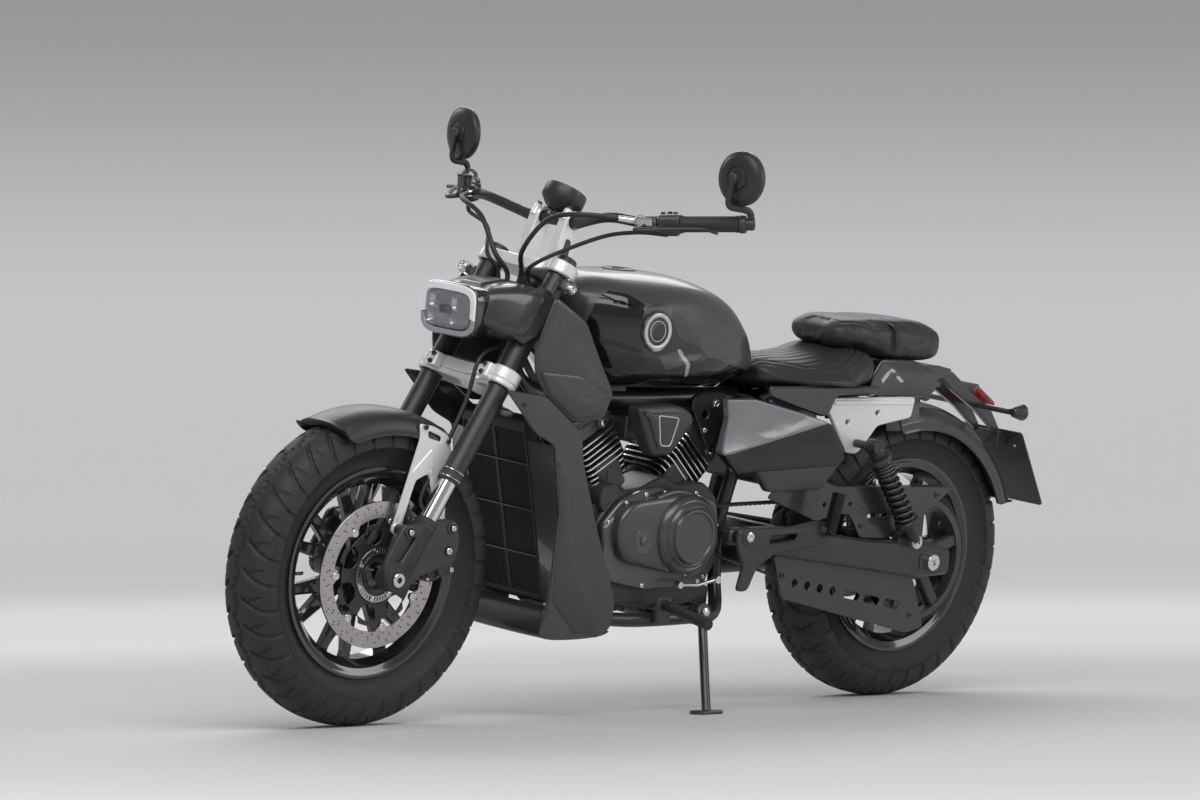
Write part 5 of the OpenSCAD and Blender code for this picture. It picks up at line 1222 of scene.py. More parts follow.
cowl_parts.append(outward(skin(loop)))
piece("radiator_cowl", cowl_parts, mould, "chassis", ["radiator_cowl"])
shroud = rounded([(438, 904), (482, 790), (474, 742), (440, 700), (361, 645), (316, 645), (274, 650),
                  (252, 703), (300, 776), (345, 851)], 14, 4)
fold = rounded([(470, 752), (438, 704), (362, 652), (284, 656), (264, 702), (352, 742)], 10, 4)
wings = []
for s in (-1, 1):
    wings += [panel(shroud, s * 158, s * 164, 4.5, 4, (372, 760), 10),
              panel(fold, s * 162, s * 169, 2.0, 5, (360, 692)),
              revolve([(s * 110, 9.5), (s * 159, 9.5)], (272, 0, 720), 20)]
    wings.append(slab(stadium((318, 690), 11, (342, 690), 11, 12), *sorted((s * 168, s * 171.4)), 1.0))
piece("side_shroud_pair", wings, mould, "chassis", ["side_shrouds"])
buttons = [bolt(x, z, s * 163, 5.6, s, 3) for x, z in ((386, 556), (316, 236), (500, 682)) for s in (-1, 1)]
piece("cowl_screws", buttons, cast_black, "chassis")

# --- Fuel tank ------------------------------------------------------------------------------------
# A pressed steel tank: satin grey over the top and back, gloss black in front and along the lower
# lip, matt and grey flashes behind a plain enamelled ring on each side, and a flush filler cap.


def signed(points, polygon):
    """Distance from each point to the polygon's edge, positive inside: the least distance to its
    sides, and a sign from how many sides a level ray crosses."""
    p, a = np.asarray(points, float)[:, None, :], np.asarray(polygon, float)[None]
    b = np.roll(a, -1, 1)
    t = np.clip(np.sum((p - a) * (b - a), -1) / np.maximum(np.sum((b - a) ** 2, -1), 1e-9), 0, 1)
    near = np.linalg.norm(p - a - t[..., None] * (b - a), axis=-1).min(1)
    over = (a[..., 1] > p[..., 1]) != (b[..., 1] > p[..., 1])
    cut = a[..., 0] + (p[..., 1] - a[..., 1]) / np.where(b[..., 1] == a[..., 1], 1,
        b[..., 1] - a[..., 1]) * (b[..., 0] - a[..., 0])
    return near * np.where(np.sum(over & (p[..., 0] < cut), 1) % 2 == 1, 1, -1)


def flashes(obj, parts, mat, shapes):
    """Paint inside outlines drawn in the side plane. The distance to two outlines at a time is
    kept as a UV map, and the shader turns each into a crisp mask that mixes tone and roughness."""
    side = np.concatenate([p[0] for p in parts])[:, [0, 2]]
    mesh = obj.data
    index = np.empty(len(mesh.loops), np.int32)
    mesh.loops.foreach_get("vertex_index", index)
    nodes, links = mat.node_tree.nodes, mat.node_tree.links
    shader = nodes["Principled BSDF"]
    for k in range(0, len(shapes), 2):
        pair = [signed(side, s[0]) for s in shapes[k:k + 2]]
        layer = mesh.uv_layers.new(name="flash_%d" % k)
        layer.data.foreach_set("uv", np.stack([pair[0], pair[-1]], -1)[index].ravel() / 100)
        read = nodes.new("ShaderNodeUVMap")
        read.uv_map = layer.name
        split = nodes.new("ShaderNodeSeparateXYZ")
        links.new(read.outputs["UV"], split.inputs["Vector"])
        for shape, axis in zip(shapes[k:k + 2], "XY"):
            tone, rough = shape[1:]
            mask = nodes.new("ShaderNodeMapRange")
            mask.inputs["From Min"].default_value = -0.004
            mask.inputs["From Max"].default_value = 0.004
            links.new(split.outputs[axis], mask.inputs["Value"])
            for socket, kind, value in (("Base Color", "RGBA", (*tone, 1)), ("Roughness", "FLOAT", rough)):
                mix = nodes.new("ShaderNodeMix")
                mix.data_type = kind
                ends = [s for s in list(mix.inputs) + list(mix.outputs) if s.enabled]
                first, second, result = [s for s in ends if s.name in ("A", "B", "Result")]
                links.new(mask.outputs["Result"], mix.inputs["Factor"])
                links.new(shader.inputs[socket].links[0].from_socket, first)
                second.default_value = value
                links.new(result, shader.inputs[socket])


tank_rows = [(300, 62, 770, 891), (294, 80, 755, 906), (280, 103, 742, 921), (240, 144, 712, 937),
             (190, 168, 702, 943), (107, 172, 700, 945), (20, 168, 698, 939),
             (-60, 155, 699, 921), (-128, 134, 704, 893), (-180, 107, 712, 851), (-214, 83, 722, 809),
             (-236, 58, 732, 769)]
tank = pod(curve(tank_rows, 9), 0.72, 176)
v = tank[0]
mid_low = np.clip((775 + 0.22 * np.abs(v[:, 0] - 90) - v[:, 2]) / 14, 0, 1)
high_mid = np.clip((v[:, 2] - 770) / 14, 0, 1) * np.clip((905 - v[:, 2]) / 40, 0, 1)
v[:, 1] *= 1 - 0.030 * high_mid * np.clip((120 - v[:, 0]) / 60, 0, 1)
v[:, 1] *= 1 + 0.022 * mid_low * np.clip((v[:, 2] - 712) / 14, 0, 1)
gloss_area = [(310, 770), (275, 880), (262, 900), (245, 911), (214, 909), (182, 888), (192, 863),
              (201, 816), (179, 777), (140, 742), (60, 757), (-10, 779), (-60, 772), (-110, 757),
              (-245, 735), (-240, 690), (300, 690)]
dark_area = [(201, 816), (196, 852), (178, 884), (150, 893), (118, 886), (100, 858), (93, 829), (10, 796),
             (-9, 782), (60, 757), (140, 742), (179, 777)]
wedge_area = [(122, 888), (88, 872), (14, 812), (9, 797), (93, 826), (108, 858)]
patch_area = [(141, 781), (92, 794), (50, 767), (110, 752)]
tick_area = [(90, 797), (76, 797), (44, 764), (34, 736), (43, 736), (57, 764)]
tank_paint = finish("satin_grey_tank_paint", (0.050, 0.051, 0.054), 0.33, coat=0.25, grain=900, bump=0.05,
                    blotch=0.08, wander=0.04)
shell = piece("fuel_tank_shell", [tank], tank_paint, "chassis", ["fuel_tank"], 60)
tank_flashes = [(gloss_area, (0.008, 0.008, 0.009), 0.09),
                (dark_area, (0.011, 0.011, 0.012), 0.42),
                (wedge_area, (0.035, 0.036, 0.038), 0.38),
                (patch_area, (0.060, 0.062, 0.065), 0.36),
                (tick_area, (0.36, 0.37, 0.38), 0.35)]
flashes(shell, [tank], tank_paint, tank_flashes)
RING = (152, 0, 835)
discs, rings = [], []
for s in (-1, 1):
    discs.append(revolve([(s * 158, 43), (s * 169.5, 43.5), (s * 172, 42), (s * 171, 39), (s * 171, 2)],
                         RING, 72))
    rings.append(revolve([(s * 170, 30), (s * 170, 38.5), (s * 173.5, 38), (s * 174.5, 36), (s * 174, 31.5),
                          (s * 173, 30), (s * 170, 30)], RING, 72))
    rings.append(revolve([(s * 170, 20.5), (s * 170, 22.2), (s * 173, 22), (s * 173, 20.6),
                          (s * 170, 20.5)], RING, 60))
piece("tank_ring_discs", discs, gloss_black, "chassis")
piece("tank_rings", rings, finish("enamelled_light_grey", (0.52, 0.53, 0.54), 0.28, metal=0.3, coat=0.5,
                                  grain=500, bump=0.03), "chassis")
cap = [revolve([(930, 37), (944.6, 37), (946.6, 36), (947.2, 34), (946, 32.5), (945.6, 20), (946.4, 17),
                (946, 2)], (120, 0, 0), 72, axis=2),
       slab(rounded([(104, -6), (136, -6), (136, 6), (104, 6)], 5, 3), 945, 948.6, 1.2, (), "plan")]
piece("filler_cap", cap, satin_black, "chassis")

# --- Seats ----------------------------------------------------------------------------------------
# Moulded foam under black vinyl. The rider's saddle has a channelled centre panel inside two
# parallel seams; the passenger's pad carries a thin strap across it and a seam along each side.


def foam(rows, p, cap_mm):
    """A lofted pad of even small faces that swells under inner pressure; no point moves further
    than the cap, and those near the flat base stay where they are."""
    verts, groups = pod(curve(rows, 6), p, 96)
    mesh = bpy.data.meshes.new("foam")
    mesh.from_pydata((verts * 0.001).tolist(), [], [r for f in groups for r in f.tolist()])
    obj = bpy.data.objects.new("foam", mesh)
    bpy.context.scene.collection.objects.link(obj)
    mod = obj.modifiers.new("even", "REMESH")
    mod.mode, mod.voxel_size, mod.use_smooth_shade = "VOXEL", 0.005, True

    def settled():
        """The mesh as its modifiers leave it."""
        return bpy.data.meshes.new_from_object(obj.evaluated_get(bpy.context.evaluated_depsgraph_get()))

    obj.data = settled()
    obj.modifiers.clear()
    count = len(obj.data.vertices)
    start = np.empty(count * 3, np.float32)
    obj.data.vertices.foreach_get("co", start)
    scene = bpy.context.scene
    mod = obj.modifiers.new("swell", "CLOTH")
    mod.settings.use_pressure = True
    mod.settings.uniform_pressure_force = 4
    mod.settings.quality = 5
    mod.settings.effector_weights.gravity = 0
    for i in range(1, 21):
        scene.frame_set(i)
    soft = settled()
    end = np.empty(count * 3, np.float32)
    soft.vertices.foreach_get("co", end)
    scene.frame_set(1)
    obj.modifiers.clear()
    step = (end - start).reshape(-1, 3)
    size = np.linalg.norm(step, axis=1)[:, None]
    base = start.reshape(-1, 3)[:, 2:3]
    free = np.clip((base - base.min() - 0.004) / 0.02, 0, 1)
    start = (start.reshape(-1, 3) + step * np.minimum(1,
        0.001 * cap_mm / np.maximum(size, 1e-9)) * free).ravel()
    obj.data.vertices.foreach_set("co", start.astype(np.float32))
    mod = obj.modifiers.new("smooth", "SUBSURF")
    mod.levels = mod.render_levels = 1
    final = settled()
    verts = np.empty(len(final.vertices) * 3, np.float32)
    final.vertices.foreach_get("co", verts)
    index = np.empty(len(final.loops), np.int32)
    final.loops.foreach_get("vertex_index", index)
    bpy.data.objects.remove(obj)
    return outward((verts.reshape(-1, 3) * 1000.0, [index.reshape(-1, 4)]))


def groove(v, line, depth, width, top):
    """Points near a line drawn in plan sink by depth times exp(-(distance / width) squared),
    where they lie above a height."""
    near = np.abs(signed(v[:, :2], line))
    v[:, 2] -= depth * np.exp(-(near / width) ** 2) * np.clip((v[:, 2] - top) / 8, 0, 1)


vinyl = finish("grained_black_vinyl", (0.022, 0.022, 0.0225), 0.46, grain=1500, bump=0.30, blotch=0.10,
               wander=0.06, relief=0.0003)
saddle_rows = [(-242, 78, 712, 750), (-258, 98, 708, 759), (-300, 117, 706, 764), (-370, 142, 704, 766),
               (-440, 154, 704, 774), (-500, 151, 706, 784), (-540, 139, 710, 787), (-568, 114, 716, 781),
               (-582, 86, 726, 766)]
saddle = foam(saddle_rows, 0.58, 5)
v = saddle[0]
hollow = np.clip((-250 - v[:, 0]) / 40, 0, 1) * np.clip((v[:, 0] + 560) / 90, 0, 1)
v[:, 2] -= 24 * np.clip(np.abs(v[:, 1]) / 120, 0, 1.3) ** 2 * hollow * np.clip((v[:, 2] - 725) / 25, 0, 1)
edge_y = curve([(-236, 44), (-262, 58), (-310, 76), (-370, 98), (-430, 110), (-490, 104), (-535, 80),
                (-560, 44), (-566, 0)], 6)
seam = np.concatenate([edge_y, edge_y[::-1] * [1, -1]])
outer = inset(seam[[*range(0, len(edge_y) - 1), *range(len(edge_y), len(seam))]], -15)
inside = np.clip(signed(v[:, :2], seam) / 8, 0, 1)
lanes = np.exp(-((np.abs((v[:, 1] + 9) % 18 - 9) / 2.4) ** 2))
v[:, 2] -= (2.0 * lanes * np.clip((v[:, 0] + 562) / 14, 0, 1)) * inside * np.clip((v[:, 2] - 728) / 8, 0, 1)
groove(v, seam, 3.2, 2.6, 716)
groove(v, outer, 1.8, 2.4, 712)
piece("saddle_pad", [saddle], vinyl, "chassis", ["rider_seat"], 70)
pillion_rows = [(-474, 58, 800, 832), (-484, 76, 793, 840), (-510, 90, 789, 845), (-545, 98, 786, 848),
                (-590, 99, 774, 847), (-640, 100, 760, 848), (-700, 100, 757, 846), (-760, 94, 756, 840),
                (-800, 80, 760, 833), (-818, 60, 770, 824)]
pad = foam(pillion_rows, 0.62, 5)
v = pad[0]
strap = np.exp(-((v[:, 0] + 642) / 5.0) ** 2)
v[:, 2] -= 2.6 * strap * np.clip((v[:, 2] - 800) / 20, 0, 1)
v[:, 1] *= 1 - 0.02 * strap
pad_seam = [(-500, 62), (-545, 80), (-640, 86), (-740, 82), (-800, 62), (-800, -62), (-740, -82),
            (-640, -86), (-545, -80), (-500, -62)]
groove(v, pad_seam, 1.8, 2.2, 815)
piece("passenger_pad", [pad], vinyl, "chassis", ["pillion_seat"], 70)
t = np.radians(np.linspace(-12, 192, 40))
band = [(-642, 103.0 * np.sign(math.cos(q)) * abs(math.cos(q)) ** 0.62,
         802 + 46.6 * np.sign(math.sin(q)) * abs(math.sin(q)) ** 0.62) for q in t]
strap_line = np.array(band)
strap_part = skin(np.stack([strap_line + [-6, 0, 0], strap_line + [6, 0, 0],
                            (strap_line - [-642, 0, 803]) * [1, 0.975, 0.95] + [-636, 0, 803],
                            (strap_line - [-642, 0, 803]) * [1, 0.975, 0.95] + [-648, 0, 803]], 1))
piece("passenger_strap", [outward(strap_part)], finish("woven_black_strap", (0.010, 0.010, 0.010), 0.6,
    grain=2500, bump=0.4), "chassis")

skirt_out = rounded([(-236, 712), (-236, 690), (-330, 664), (-400, 646), (-422, 650), (-442, 692),
                     (-562, 694), (-574, 712)], 8, 4)
piece("saddle_skirts", both(slab(skirt_out, 122, 133, 4)), mould, "chassis")

# --- Tail ---------------------------------------------------------------------------------------
# Moulded sides below the passenger's pad in gloss black with light-grey flashes and a grey
# triangle, over a flat undertray, and the seat rails and steel seat pan that carry them.
tail_side = rounded([(-571, 684), (-580, 730), (-606, 767), (-702, 765), (-772, 744), (-792, 712),
                     (-770, 684)], 8, 4)
sides = [panel(tail_side, s * 84, s * 98, 2.0, 4, (-690, 722), 14) for s in (-1, 1)]
tail_paint = finish("gloss_black_tail_paint", (0.012, 0.012, 0.013), 0.16, coat=0.8, grain=700, bump=0.03,
                    wander=0.04)
shell = piece("tail_sides", sides, tail_paint, "chassis", ["tail_cowl"], 50)
flashes(shell, sides, tail_paint, [([(-584, 680), (-636, 737), (-700, 690), (-700, 676)],
                                    (0.020, 0.020, 0.021), 0.34),
                                   ([(-572, 684), (-583, 684), (-636, 738), (-700, 692), (-710, 692),
                                     (-641, 746), (-629, 746)], (0.40, 0.41, 0.42), 0.35)])
tray = slab(rounded([(-588, 751), (-588, 717), (-800, 717), (-844, 729), (-844, 743), (-800, 751)], 4, 3),
            -84, 84, 2)
piece("tail_tray", [tray], mould, "chassis")
rails = []
for s in (-1, 1):
    rails.append(body_tube([(-268, 70 * s, 672), (-320, 70 * s, 690), (-480, 70 * s, 690),
                            (-800, 70 * s, 700)], 11, 16))
    rails += [revolve([(s * 70, 8), (s * 98, 8)], (x, 0, z), 16) for x, z in ((-470, 680), (-610, 682))]
rails.append(slab(rounded([(-290, 700.5), (-290, 715.5), (-818, 715.5), (-818, 700.5)], 3, 2), -79, 79,
                  1.5))
rails.append(slab(rounded([(-279, 491), (-279, 679), (-429, 679), (-429, 491)], 12, 4), -91, 91, 4))
piece("seat_rails", rails, frame_steel, "chassis", ["subframe"])

# --- Side covers --------------------------------------------------------------------------------
# Wide moulded covers below the saddle: a silver-grey upper face that folds along a crease into a
# gloss black one, over a dark grey lower cover; rubber-bushed pegs hold them to the frame.
upper_out = rounded([(-90, 688), (-180, 688), (-330, 655), (-388, 640), (-418, 629), (-462, 576),
                     (-440, 541), (-139, 528), (-84, 574), (-100, 650)], 7, 4)
covers = []
for s in (-1, 1):
    part = panel(upper_out, s * 136, s * 154, 0.0, 4, (-250, 600), 16)
    w = part[0]
    line = signed(w[:, [0, 2]], [(-60, 560), (-112, 574), (-385, 636), (-480, 660), (-480, 800),
                                 (-60, 800)])
    w[:, 1] += s * (5.0 * np.exp(-(line / 14) ** 2) - 5 * np.clip(line / 90, 0,
        1)) * (np.abs(w[:, 1]) > 150)
    covers.append(part)
cover_paint = finish("silver_grey_side_paint", (0.185, 0.188, 0.195), 0.30, metal=0.4, coat=0.4, grain=900,
                     bump=0.05, blotch=0.06, wander=0.04)
shell = piece("side_cover_uppers", covers, cover_paint, "chassis", ["side_covers"], 30)
flashes(shell, covers, cover_paint,
        [([(-60, 566), (-112, 572), (-388, 634), (-480, 658), (-480, 500), (-60, 500)],
          (0.010, 0.010, 0.011), 0.14)])
low_out = rounded([(-196, 534), (-345, 556), (-452, 580), (-466, 560), (-410, 500), (-400, 490),
                   (-240, 486)], 8, 4)
piece("side_cover_lowers", [panel(low_out, s * 134, s * 151, 1.5, 4, (-340, 525), 12) for s in (-1, 1)],
      mould_grey, "chassis")
pegs = [revolve([(s * 90, 9.5), (s * 137, 9.5)], (x, 0, z), 18) for x, z in ((-300, 620), (-400, 560))
        for s in (-1, 1)]
piece("side_cover_pegs", pegs, hose_rubber, "chassis")

# --- Swingarm and rear axle -------------------------------------------------------------------------
# Two pressed and welded steel arms joined by a cross tube behind the engine, a pivot boss each
# side, and the solid axle through both ends with its spacers, washers and bright nuts.
AX, AZ = REAR[0], REAR[2]
arm_out = rounded([(-139, 409), (-139, 377), (-300, 346), (-740, 288), (-831, 293), (-831, 349),
                   (-700, 368), (-560, 376), (-300, 410)], 14, 4)
arms = both(slab(arm_out, 123.2, 150.8, 5, [arc(AX, AZ, 12.4, n=24)]))
arms += both(slab(rounded([(-738, 342), (-652, 352), (-664, 383), (-694, 397), (-716, 383)], 6, 3), 124,
                  150.5, 3))
arms.append(tube([(-318, -123, 378), (-318, 123, 378)], 27, 32))
arms += [revolve([(s * 81, 13), (s * 124, 13)], (-173, 0, 395), 28) for s in (-1, 1)]
piece("swingarm_weldment", arms, frame_steel, "chassis", ["swingarm"], 40)
axle = [revolve([(-164, 2), (-164, 17), (-163, 18), (-152, 18), (-151, 12), (151, 12), (152, 18), (163, 18),
                 (164, 17), (164, 7.2), (134, 7), (134, 1)], (AX, 0, AZ), 48),
        revolve([(113.6, 12), (113.6, 16), (122.6, 16), (122.6, 12)], (AX, 0, AZ), 40),
        revolve([(-95.6, 12), (-95.6, 16), (-122.6, 16), (-122.6, 12)], (AX, 0, AZ), 40)]
axle += [bolt(AX, AZ, s * 151, 17.5, s, 12) for s in (-1, 1)]
piece("rear_axle_and_nuts", axle, bright_steel, "chassis", ["rear_axle"], 35)
adjusters = both(slab(rounded([(AX - 44, AZ - 17), (AX + 34, AZ - 17), (AX + 34, AZ + 17),
                               (AX - 44, AZ + 17)], 5, 3), 150.5, 153, 0.8, [arc(AX, AZ, 16, n=28)]))
adjusters += [bolt(AX - 56, AZ + 6, s * 146, 5, s, 5) for s in (-1, 1)]
piece("axle_adjuster_plates", adjusters, satin_black, "chassis")

# --- Rear shock absorbers -----------------------------------------------------------------------
# Hydraulic dampers inside black coil springs wound closer at the top than below, between pressed
# collars, with rubber-bushed eyes above and bright forged eyes below.
UPPER_EYE, LOWER_EYE = (-536, 0, 584), (-694, 0, 372)
SHOCK_Y = 167
top = np.array([-536, SHOCK_Y, 584.0])
low_eye = np.array([-694, SHOCK_Y, 372.0])
down = (low_eye - top) / np.linalg.norm(low_eye - top)
shock_lean = math.atan2(down[0], -down[2])


def along_shock(part):
    """A part drawn hanging below the origin along the vertical, swung about the cross axis to the
    shock's slope and hung from its upper eye."""
    return turned((part[0] + top, part[1]), shock_lean, tuple(top), 1)


cans = revolve([(-2, 2), (-2, 15), (-8, 18), (-24, 18), (-24.5, 26), (-27, 28), (-34, 28), (-36, 26),
                (-36, 17), (-196, 14.5), (-203, 27), (-206, 28), (-212, 27), (-214, 17), (-262, 13),
                (-264, 2)], (0, 0, 0), 40, axis=2)
turns = np.linspace(0, 1, 400)
pitch = np.where(turns < 0.35, turns * 0.62, 0.217 + (turns - 0.35) * (1 - 0.217) / 0.65)
angle = 2 * np.pi * 11.5 * turns
coil_line = np.stack([20.2 * np.cos(angle), 20.2 * np.sin(angle), -39 - 160 * pitch], -1)
coil = tube(coil_line, 3.7, 10)
eyes = [revolve([(151.4, 7), (151.4, 14.5), (153, 15.5), (173, 15.5), (174.8, 14.5), (174.8, 7)], LOWER_EYE,
                36)]
bushes = [revolve([(151.2, 8), (151.2, 16), (153, 17), (181, 17), (183, 16), (183, 8)], UPPER_EYE, 36),
          revolve([(109, 9), (156, 9)], UPPER_EYE, 24),
          revolve([(109, 9), (156, 9)], LOWER_EYE, 24)]
piece("rear_shock_bodies", [q for p in [along_shock(cans)] + bushes for q in both(p)], satin_black,
      "chassis", ["rear_shocks"], 40)
piece("rear_shock_springs", both(along_shock(coil)),
      finish("black_spring_enamel", (0.016, 0.016, 0.017), 0.3, coat=0.6, grain=700, bump=0.05), "chassis")
bolts = [bolt(-694, 372, 172, 10, 1, 6)]
bushes.append(bolt(-536, 584, 180, 10, 1, 5))
piece("rear_shock_eyes", [q for p in eyes + bolts for q in both(p)], bright_steel, "chassis")

# --- Belt drive ---------------------------------------------------------------------------------
# A toothed rubber belt over a cast pulley with a rim, five arms and a bolted hub; black moulded
# guards with vent slots cover the upper run, and a perforated one the lower.
loop = stadium((AX, AZ), 143.4, (-86, 408), 42.6, 180)
loop = np.asarray(loop, float)
step = np.linalg.norm(np.roll(loop, -1, 0) - loop, axis=1)
length = np.concatenate([[0], np.cumsum(step)])
even = np.linspace(0, length[-1], 1121)[:-1]
closed = np.concatenate([loop, loop[:1]])
loop = np.stack([np.interp(even, length, closed[:, k]) for k in (0, 1)], -1)
ahead = np.roll(loop, -1, 0) - np.roll(loop, 1, 0)
normal = np.stack([ahead[:, 1], -ahead[:, 0]], -1) / np.linalg.norm(ahead, axis=1)[:, None]
middle = np.array([(AX - 86) / 2, (AZ + 408) / 2])
normal *= np.sign(np.sum(normal * (loop - middle), 1).mean())
teeth = 0.5 + 0.5 * np.tanh(2.5 * np.sin(2 * np.pi * np.arange(1120) / 8))
out_edge, in_edge = loop + normal * 2.6, loop - normal * (0.2 + 2.2 * teeth)[:, None]
rows = [np.stack([edge[:, 0], np.full(1120, y), edge[:, 1]], -1)
        for edge, y in ((out_edge, 87.4), (out_edge, 110.6), (in_edge, 110.6), (in_edge, 87.4))]
grid = np.stack(rows, 1)
ids = np.arange(1120 * 4).reshape(1120, 4)
nxt = np.roll(ids, -1, 0)
quads = np.stack([ids, np.roll(ids, -1, 1), np.roll(nxt, -1, 1), nxt], -1).reshape(-1, 4)
belt = outward((grid.reshape(-1, 3), [quads]))
piece("toothed_belt", [belt], finish("belt_rubber", (0.014, 0.014, 0.014), 0.65, grain=1200, bump=0.2),
      "chassis", ["drive_belt"], 25)
pulley = [revolve([(85, 124.5), (85, 139.2), (86.5, 140), (87, 137), (111, 137), (111.6, 140), (113, 139.2),
                   (113, 124.5), (85, 124.5)], (AX, 0, AZ), 96),
          revolve([(85.5, 18.5), (85.5, 45), (87, 46), (111, 46), (112.5, 45), (112.5, 18.5), (85.5, 18.5)],
                  (AX, 0, AZ), 64)]
for i in range(5):
    arm = slab(rounded([(AX + 42, AZ - 13), (AX + 128, AZ - 13), (AX + 128, AZ + 13), (AX + 42, AZ + 13)],
                       3, 2), 88, 110, 3)
    pulley.append(turned(arm, math.radians(72 * i + 18), (AX, 0, AZ)))
    pulley.append(turned(bolt(AX + 33, AZ, 112.5, 6, 1, 4), math.radians(72 * i + 18), (AX, 0, AZ)))
piece("rear_pulley_casting", pulley, cast_black, "rear_wheel_set", ["rear_pulley"], 35)
guard_out = rounded([(-262, 470), (-300, 505), (-420, 510), (-470, 492), (-800, 486), (-842, 482),
                     (-726, 404), (-690, 404), (-640, 373), (-560, 377), (-520, 430), (-470, 430),
                     (-420, 415)], 10, 4)
vents = [rounded([(x, 424), (x + 26, 420), (x + 26, 428), (x, 432)], 3, 3) for x in (-640, -604)]
vents += [arc(x, 452, 5, n=20) for x in (-560, -520, -480, -440)]
guards = [slab(guard_out, 123.2, 126.8, 1.2, vents)]
edge_line = [(-300, 505), (-420, 510), (-470, 492), (-800, 486), (-838, 482)]
lip = np.array([(x, z - 3.5) for x, z in edge_line])
guards.append(slab(np.concatenate([np.array(edge_line) + [0, -0.6], lip[::-1]]), 94.5, 124, 0.6))
low_guard = rounded([(-300, 345), (-336, 249), (-600, 190), (-735, 160), (-790, 172), (-740, 287)], 12, 4)
holes = [arc(x, z, 9, n=24) for x, z in ((-372, 282), (-412, 275), (-452, 268), (-492, 261))]
holes += [stadium((x, z), 8, (x - 34, z - 6), 8, 12) for x, z in ((-536, 252), (-600, 241), (-664, 230))]
guards.append(slab(low_guard, 123.2, 126.8, 1.2, holes))
guards += [bolt(x, z, 126.6, 6, 1, 4) for x, z in ((-318, 488), (-560, 404), (-690, 420), (-790, 468),
    (-330, 300), (-742, 200))]
piece("belt_guard_mouldings", guards, mould, "chassis", ["belt_guards"], 35)

# --- Rear brake -----------------------------------------------------------------------------------
# A drilled stainless disc riveted to a black carrier on the right of the wheel, and a two-part
# caliper bolted over it behind and above the axle.
ring_out = arc(AX, AZ, 119.6, n=120)
drilled = [arc(AX + r * math.cos(t), AZ + r * math.sin(t), 3.2, n=10) for k in range(30)
           for r, t in ((93 + 7.5 * (k % 3), math.radians(12 * k)),)]
disc = slab(ring_out, -94.8, -90.2, 0.4, [arc(AX, AZ, 86.2, n=96)] + drilled)
piece("rear_disc_plate", [disc], disc_steel, "rear_wheel_set", ["rear_brake_disc"], 30)
carrier = [revolve([(-94, 58), (-94, 62), (-91, 62), (-91, 58), (-94, 58)], (AX, 0, AZ), 64),
           revolve([(-94.6, 18.5), (-94.6, 34), (-84.4, 34), (-84.4, 18.5), (-94.6, 18.5)], (AX, 0, AZ),
                   48)]
for i in range(5):
    carrier.append(turned(slab(rounded([(AX + 30, AZ - 9), (AX + 88, AZ - 7), (AX + 88, AZ + 7),
                                        (AX + 30, AZ + 9)], 3, 2), -94.4, -90.6, 1), math.radians(72 * i),
                                        (AX, 0, AZ)))
piece("rear_disc_carrier", carrier, satin_black, "rear_wheel_set")
half = rounded([(AX + 82, AZ - 37), (AX + 122, AZ - 37), (AX + 133, AZ - 24), (AX + 133, AZ + 24),
                (AX + 122, AZ + 37), (AX + 82, AZ + 37)], 8, 4)
blocks = [slab(half, -122.4, -96.4, 4), slab(half, -88.6, -64.4, 4),
          slab(rounded([(AX + 122, AZ - 30), (AX + 133.5, AZ - 22), (AX + 133.5, AZ + 22),
                        (AX + 122, AZ + 30)], 3, 2), -98, -87, 1)]
blocks += [bolt(AX + 104, AZ + s * 16, -122.4, 9, -1, 2) for s in (-1, 1)]
piece("rear_caliper_body", [turned(b, math.radians(58), (AX, 0, AZ)) for b in blocks], cast_black,
      "chassis", ["rear_caliper"], 35)

# --- Rear mudguard and tail fittings ----------------------------------------------------------------
# A black moulded inner mudguard, forged side brackets, a red tail lamp on its moulded base,
# round turn signals on stalks and a bracket that carries the blank number plate.
guard = arch((AX, 0, AZ), 74, 158, 339, 93, 4, 54, 14, 3)
flaps = both(slab(rounded([(-690, 607), (-640, 607), (-640, 688), (-740, 688), (-740, 607)], 6, 3), 93.4,
                  96.8, 1))
piece("rear_mudguard_moulding", [guard] + flaps, mould, "chassis", ["rear_fender"], 45)
bracket = rounded([(-430, 670), (-438, 684), (-712, 684), (-703, 638), (-600, 621), (-556, 570),
                   (-540, 559), (-511, 562)], 9, 4)
brackets = both(slab(bracket, 97.2, 108.8, 2.5, [arc(-505, 630, 5.6, n=24), arc(-596, 650, 5.6, n=24)]))
brackets += both(slab(rounded([(-452, 678), (-706, 678), (-704, 668), (-460, 668)], 3, 2), 108.4, 111.4,
                      1.2))
piece("mudguard_brackets", brackets, white_cast, "chassis", ["fender_brackets"], 35)
lamp_out = rounded([(-968, 685.6), (-1035, 643.4), (-1045, 660), (-977, 703)], 7, 4)
piece("tail_lamp_lens", [slab(lamp_out, -45.5, 45.5, 6)],
      clear("red_lamp_plastic", (0.42, 0.008, 0.010), 0.12), "chassis", ["tail_lamp"], 40)
piece("tail_lamp_base", [slab(rounded([(-966, 684), (-972, 694), (-978, 704), (-984, 700), (-970, 682)], 2,
                                      2), -43, 43, 1)], mould, "chassis")
shells, lenses, stalks = [], [], []
for s in (-1, 1):
    shells.append(revolve([(-984, 2), (-984, 8), (-987, 11), (-1012, 18.4), (-1014, 19), (-1016, 18.6),
                           (-1016, 4)], (0, s * 150, 655), 40, axis=0))
    lenses.append(revolve([(-1014.5, 4), (-1014.5, 18), (-1018, 17.4), (-1020, 14), (-1021.6, 8),
                           (-1022, 1)], (0, s * 150, 655), 40, axis=0))
    stalks.append(tube([(-988, s * 38, 655), (-988, s * 140, 655)], 7, 18))
piece("rear_signal_shells", shells + stalks, mould, "chassis", (), 40)
piece("rear_signal_lenses", lenses, clear_lens, "chassis", (), 40)
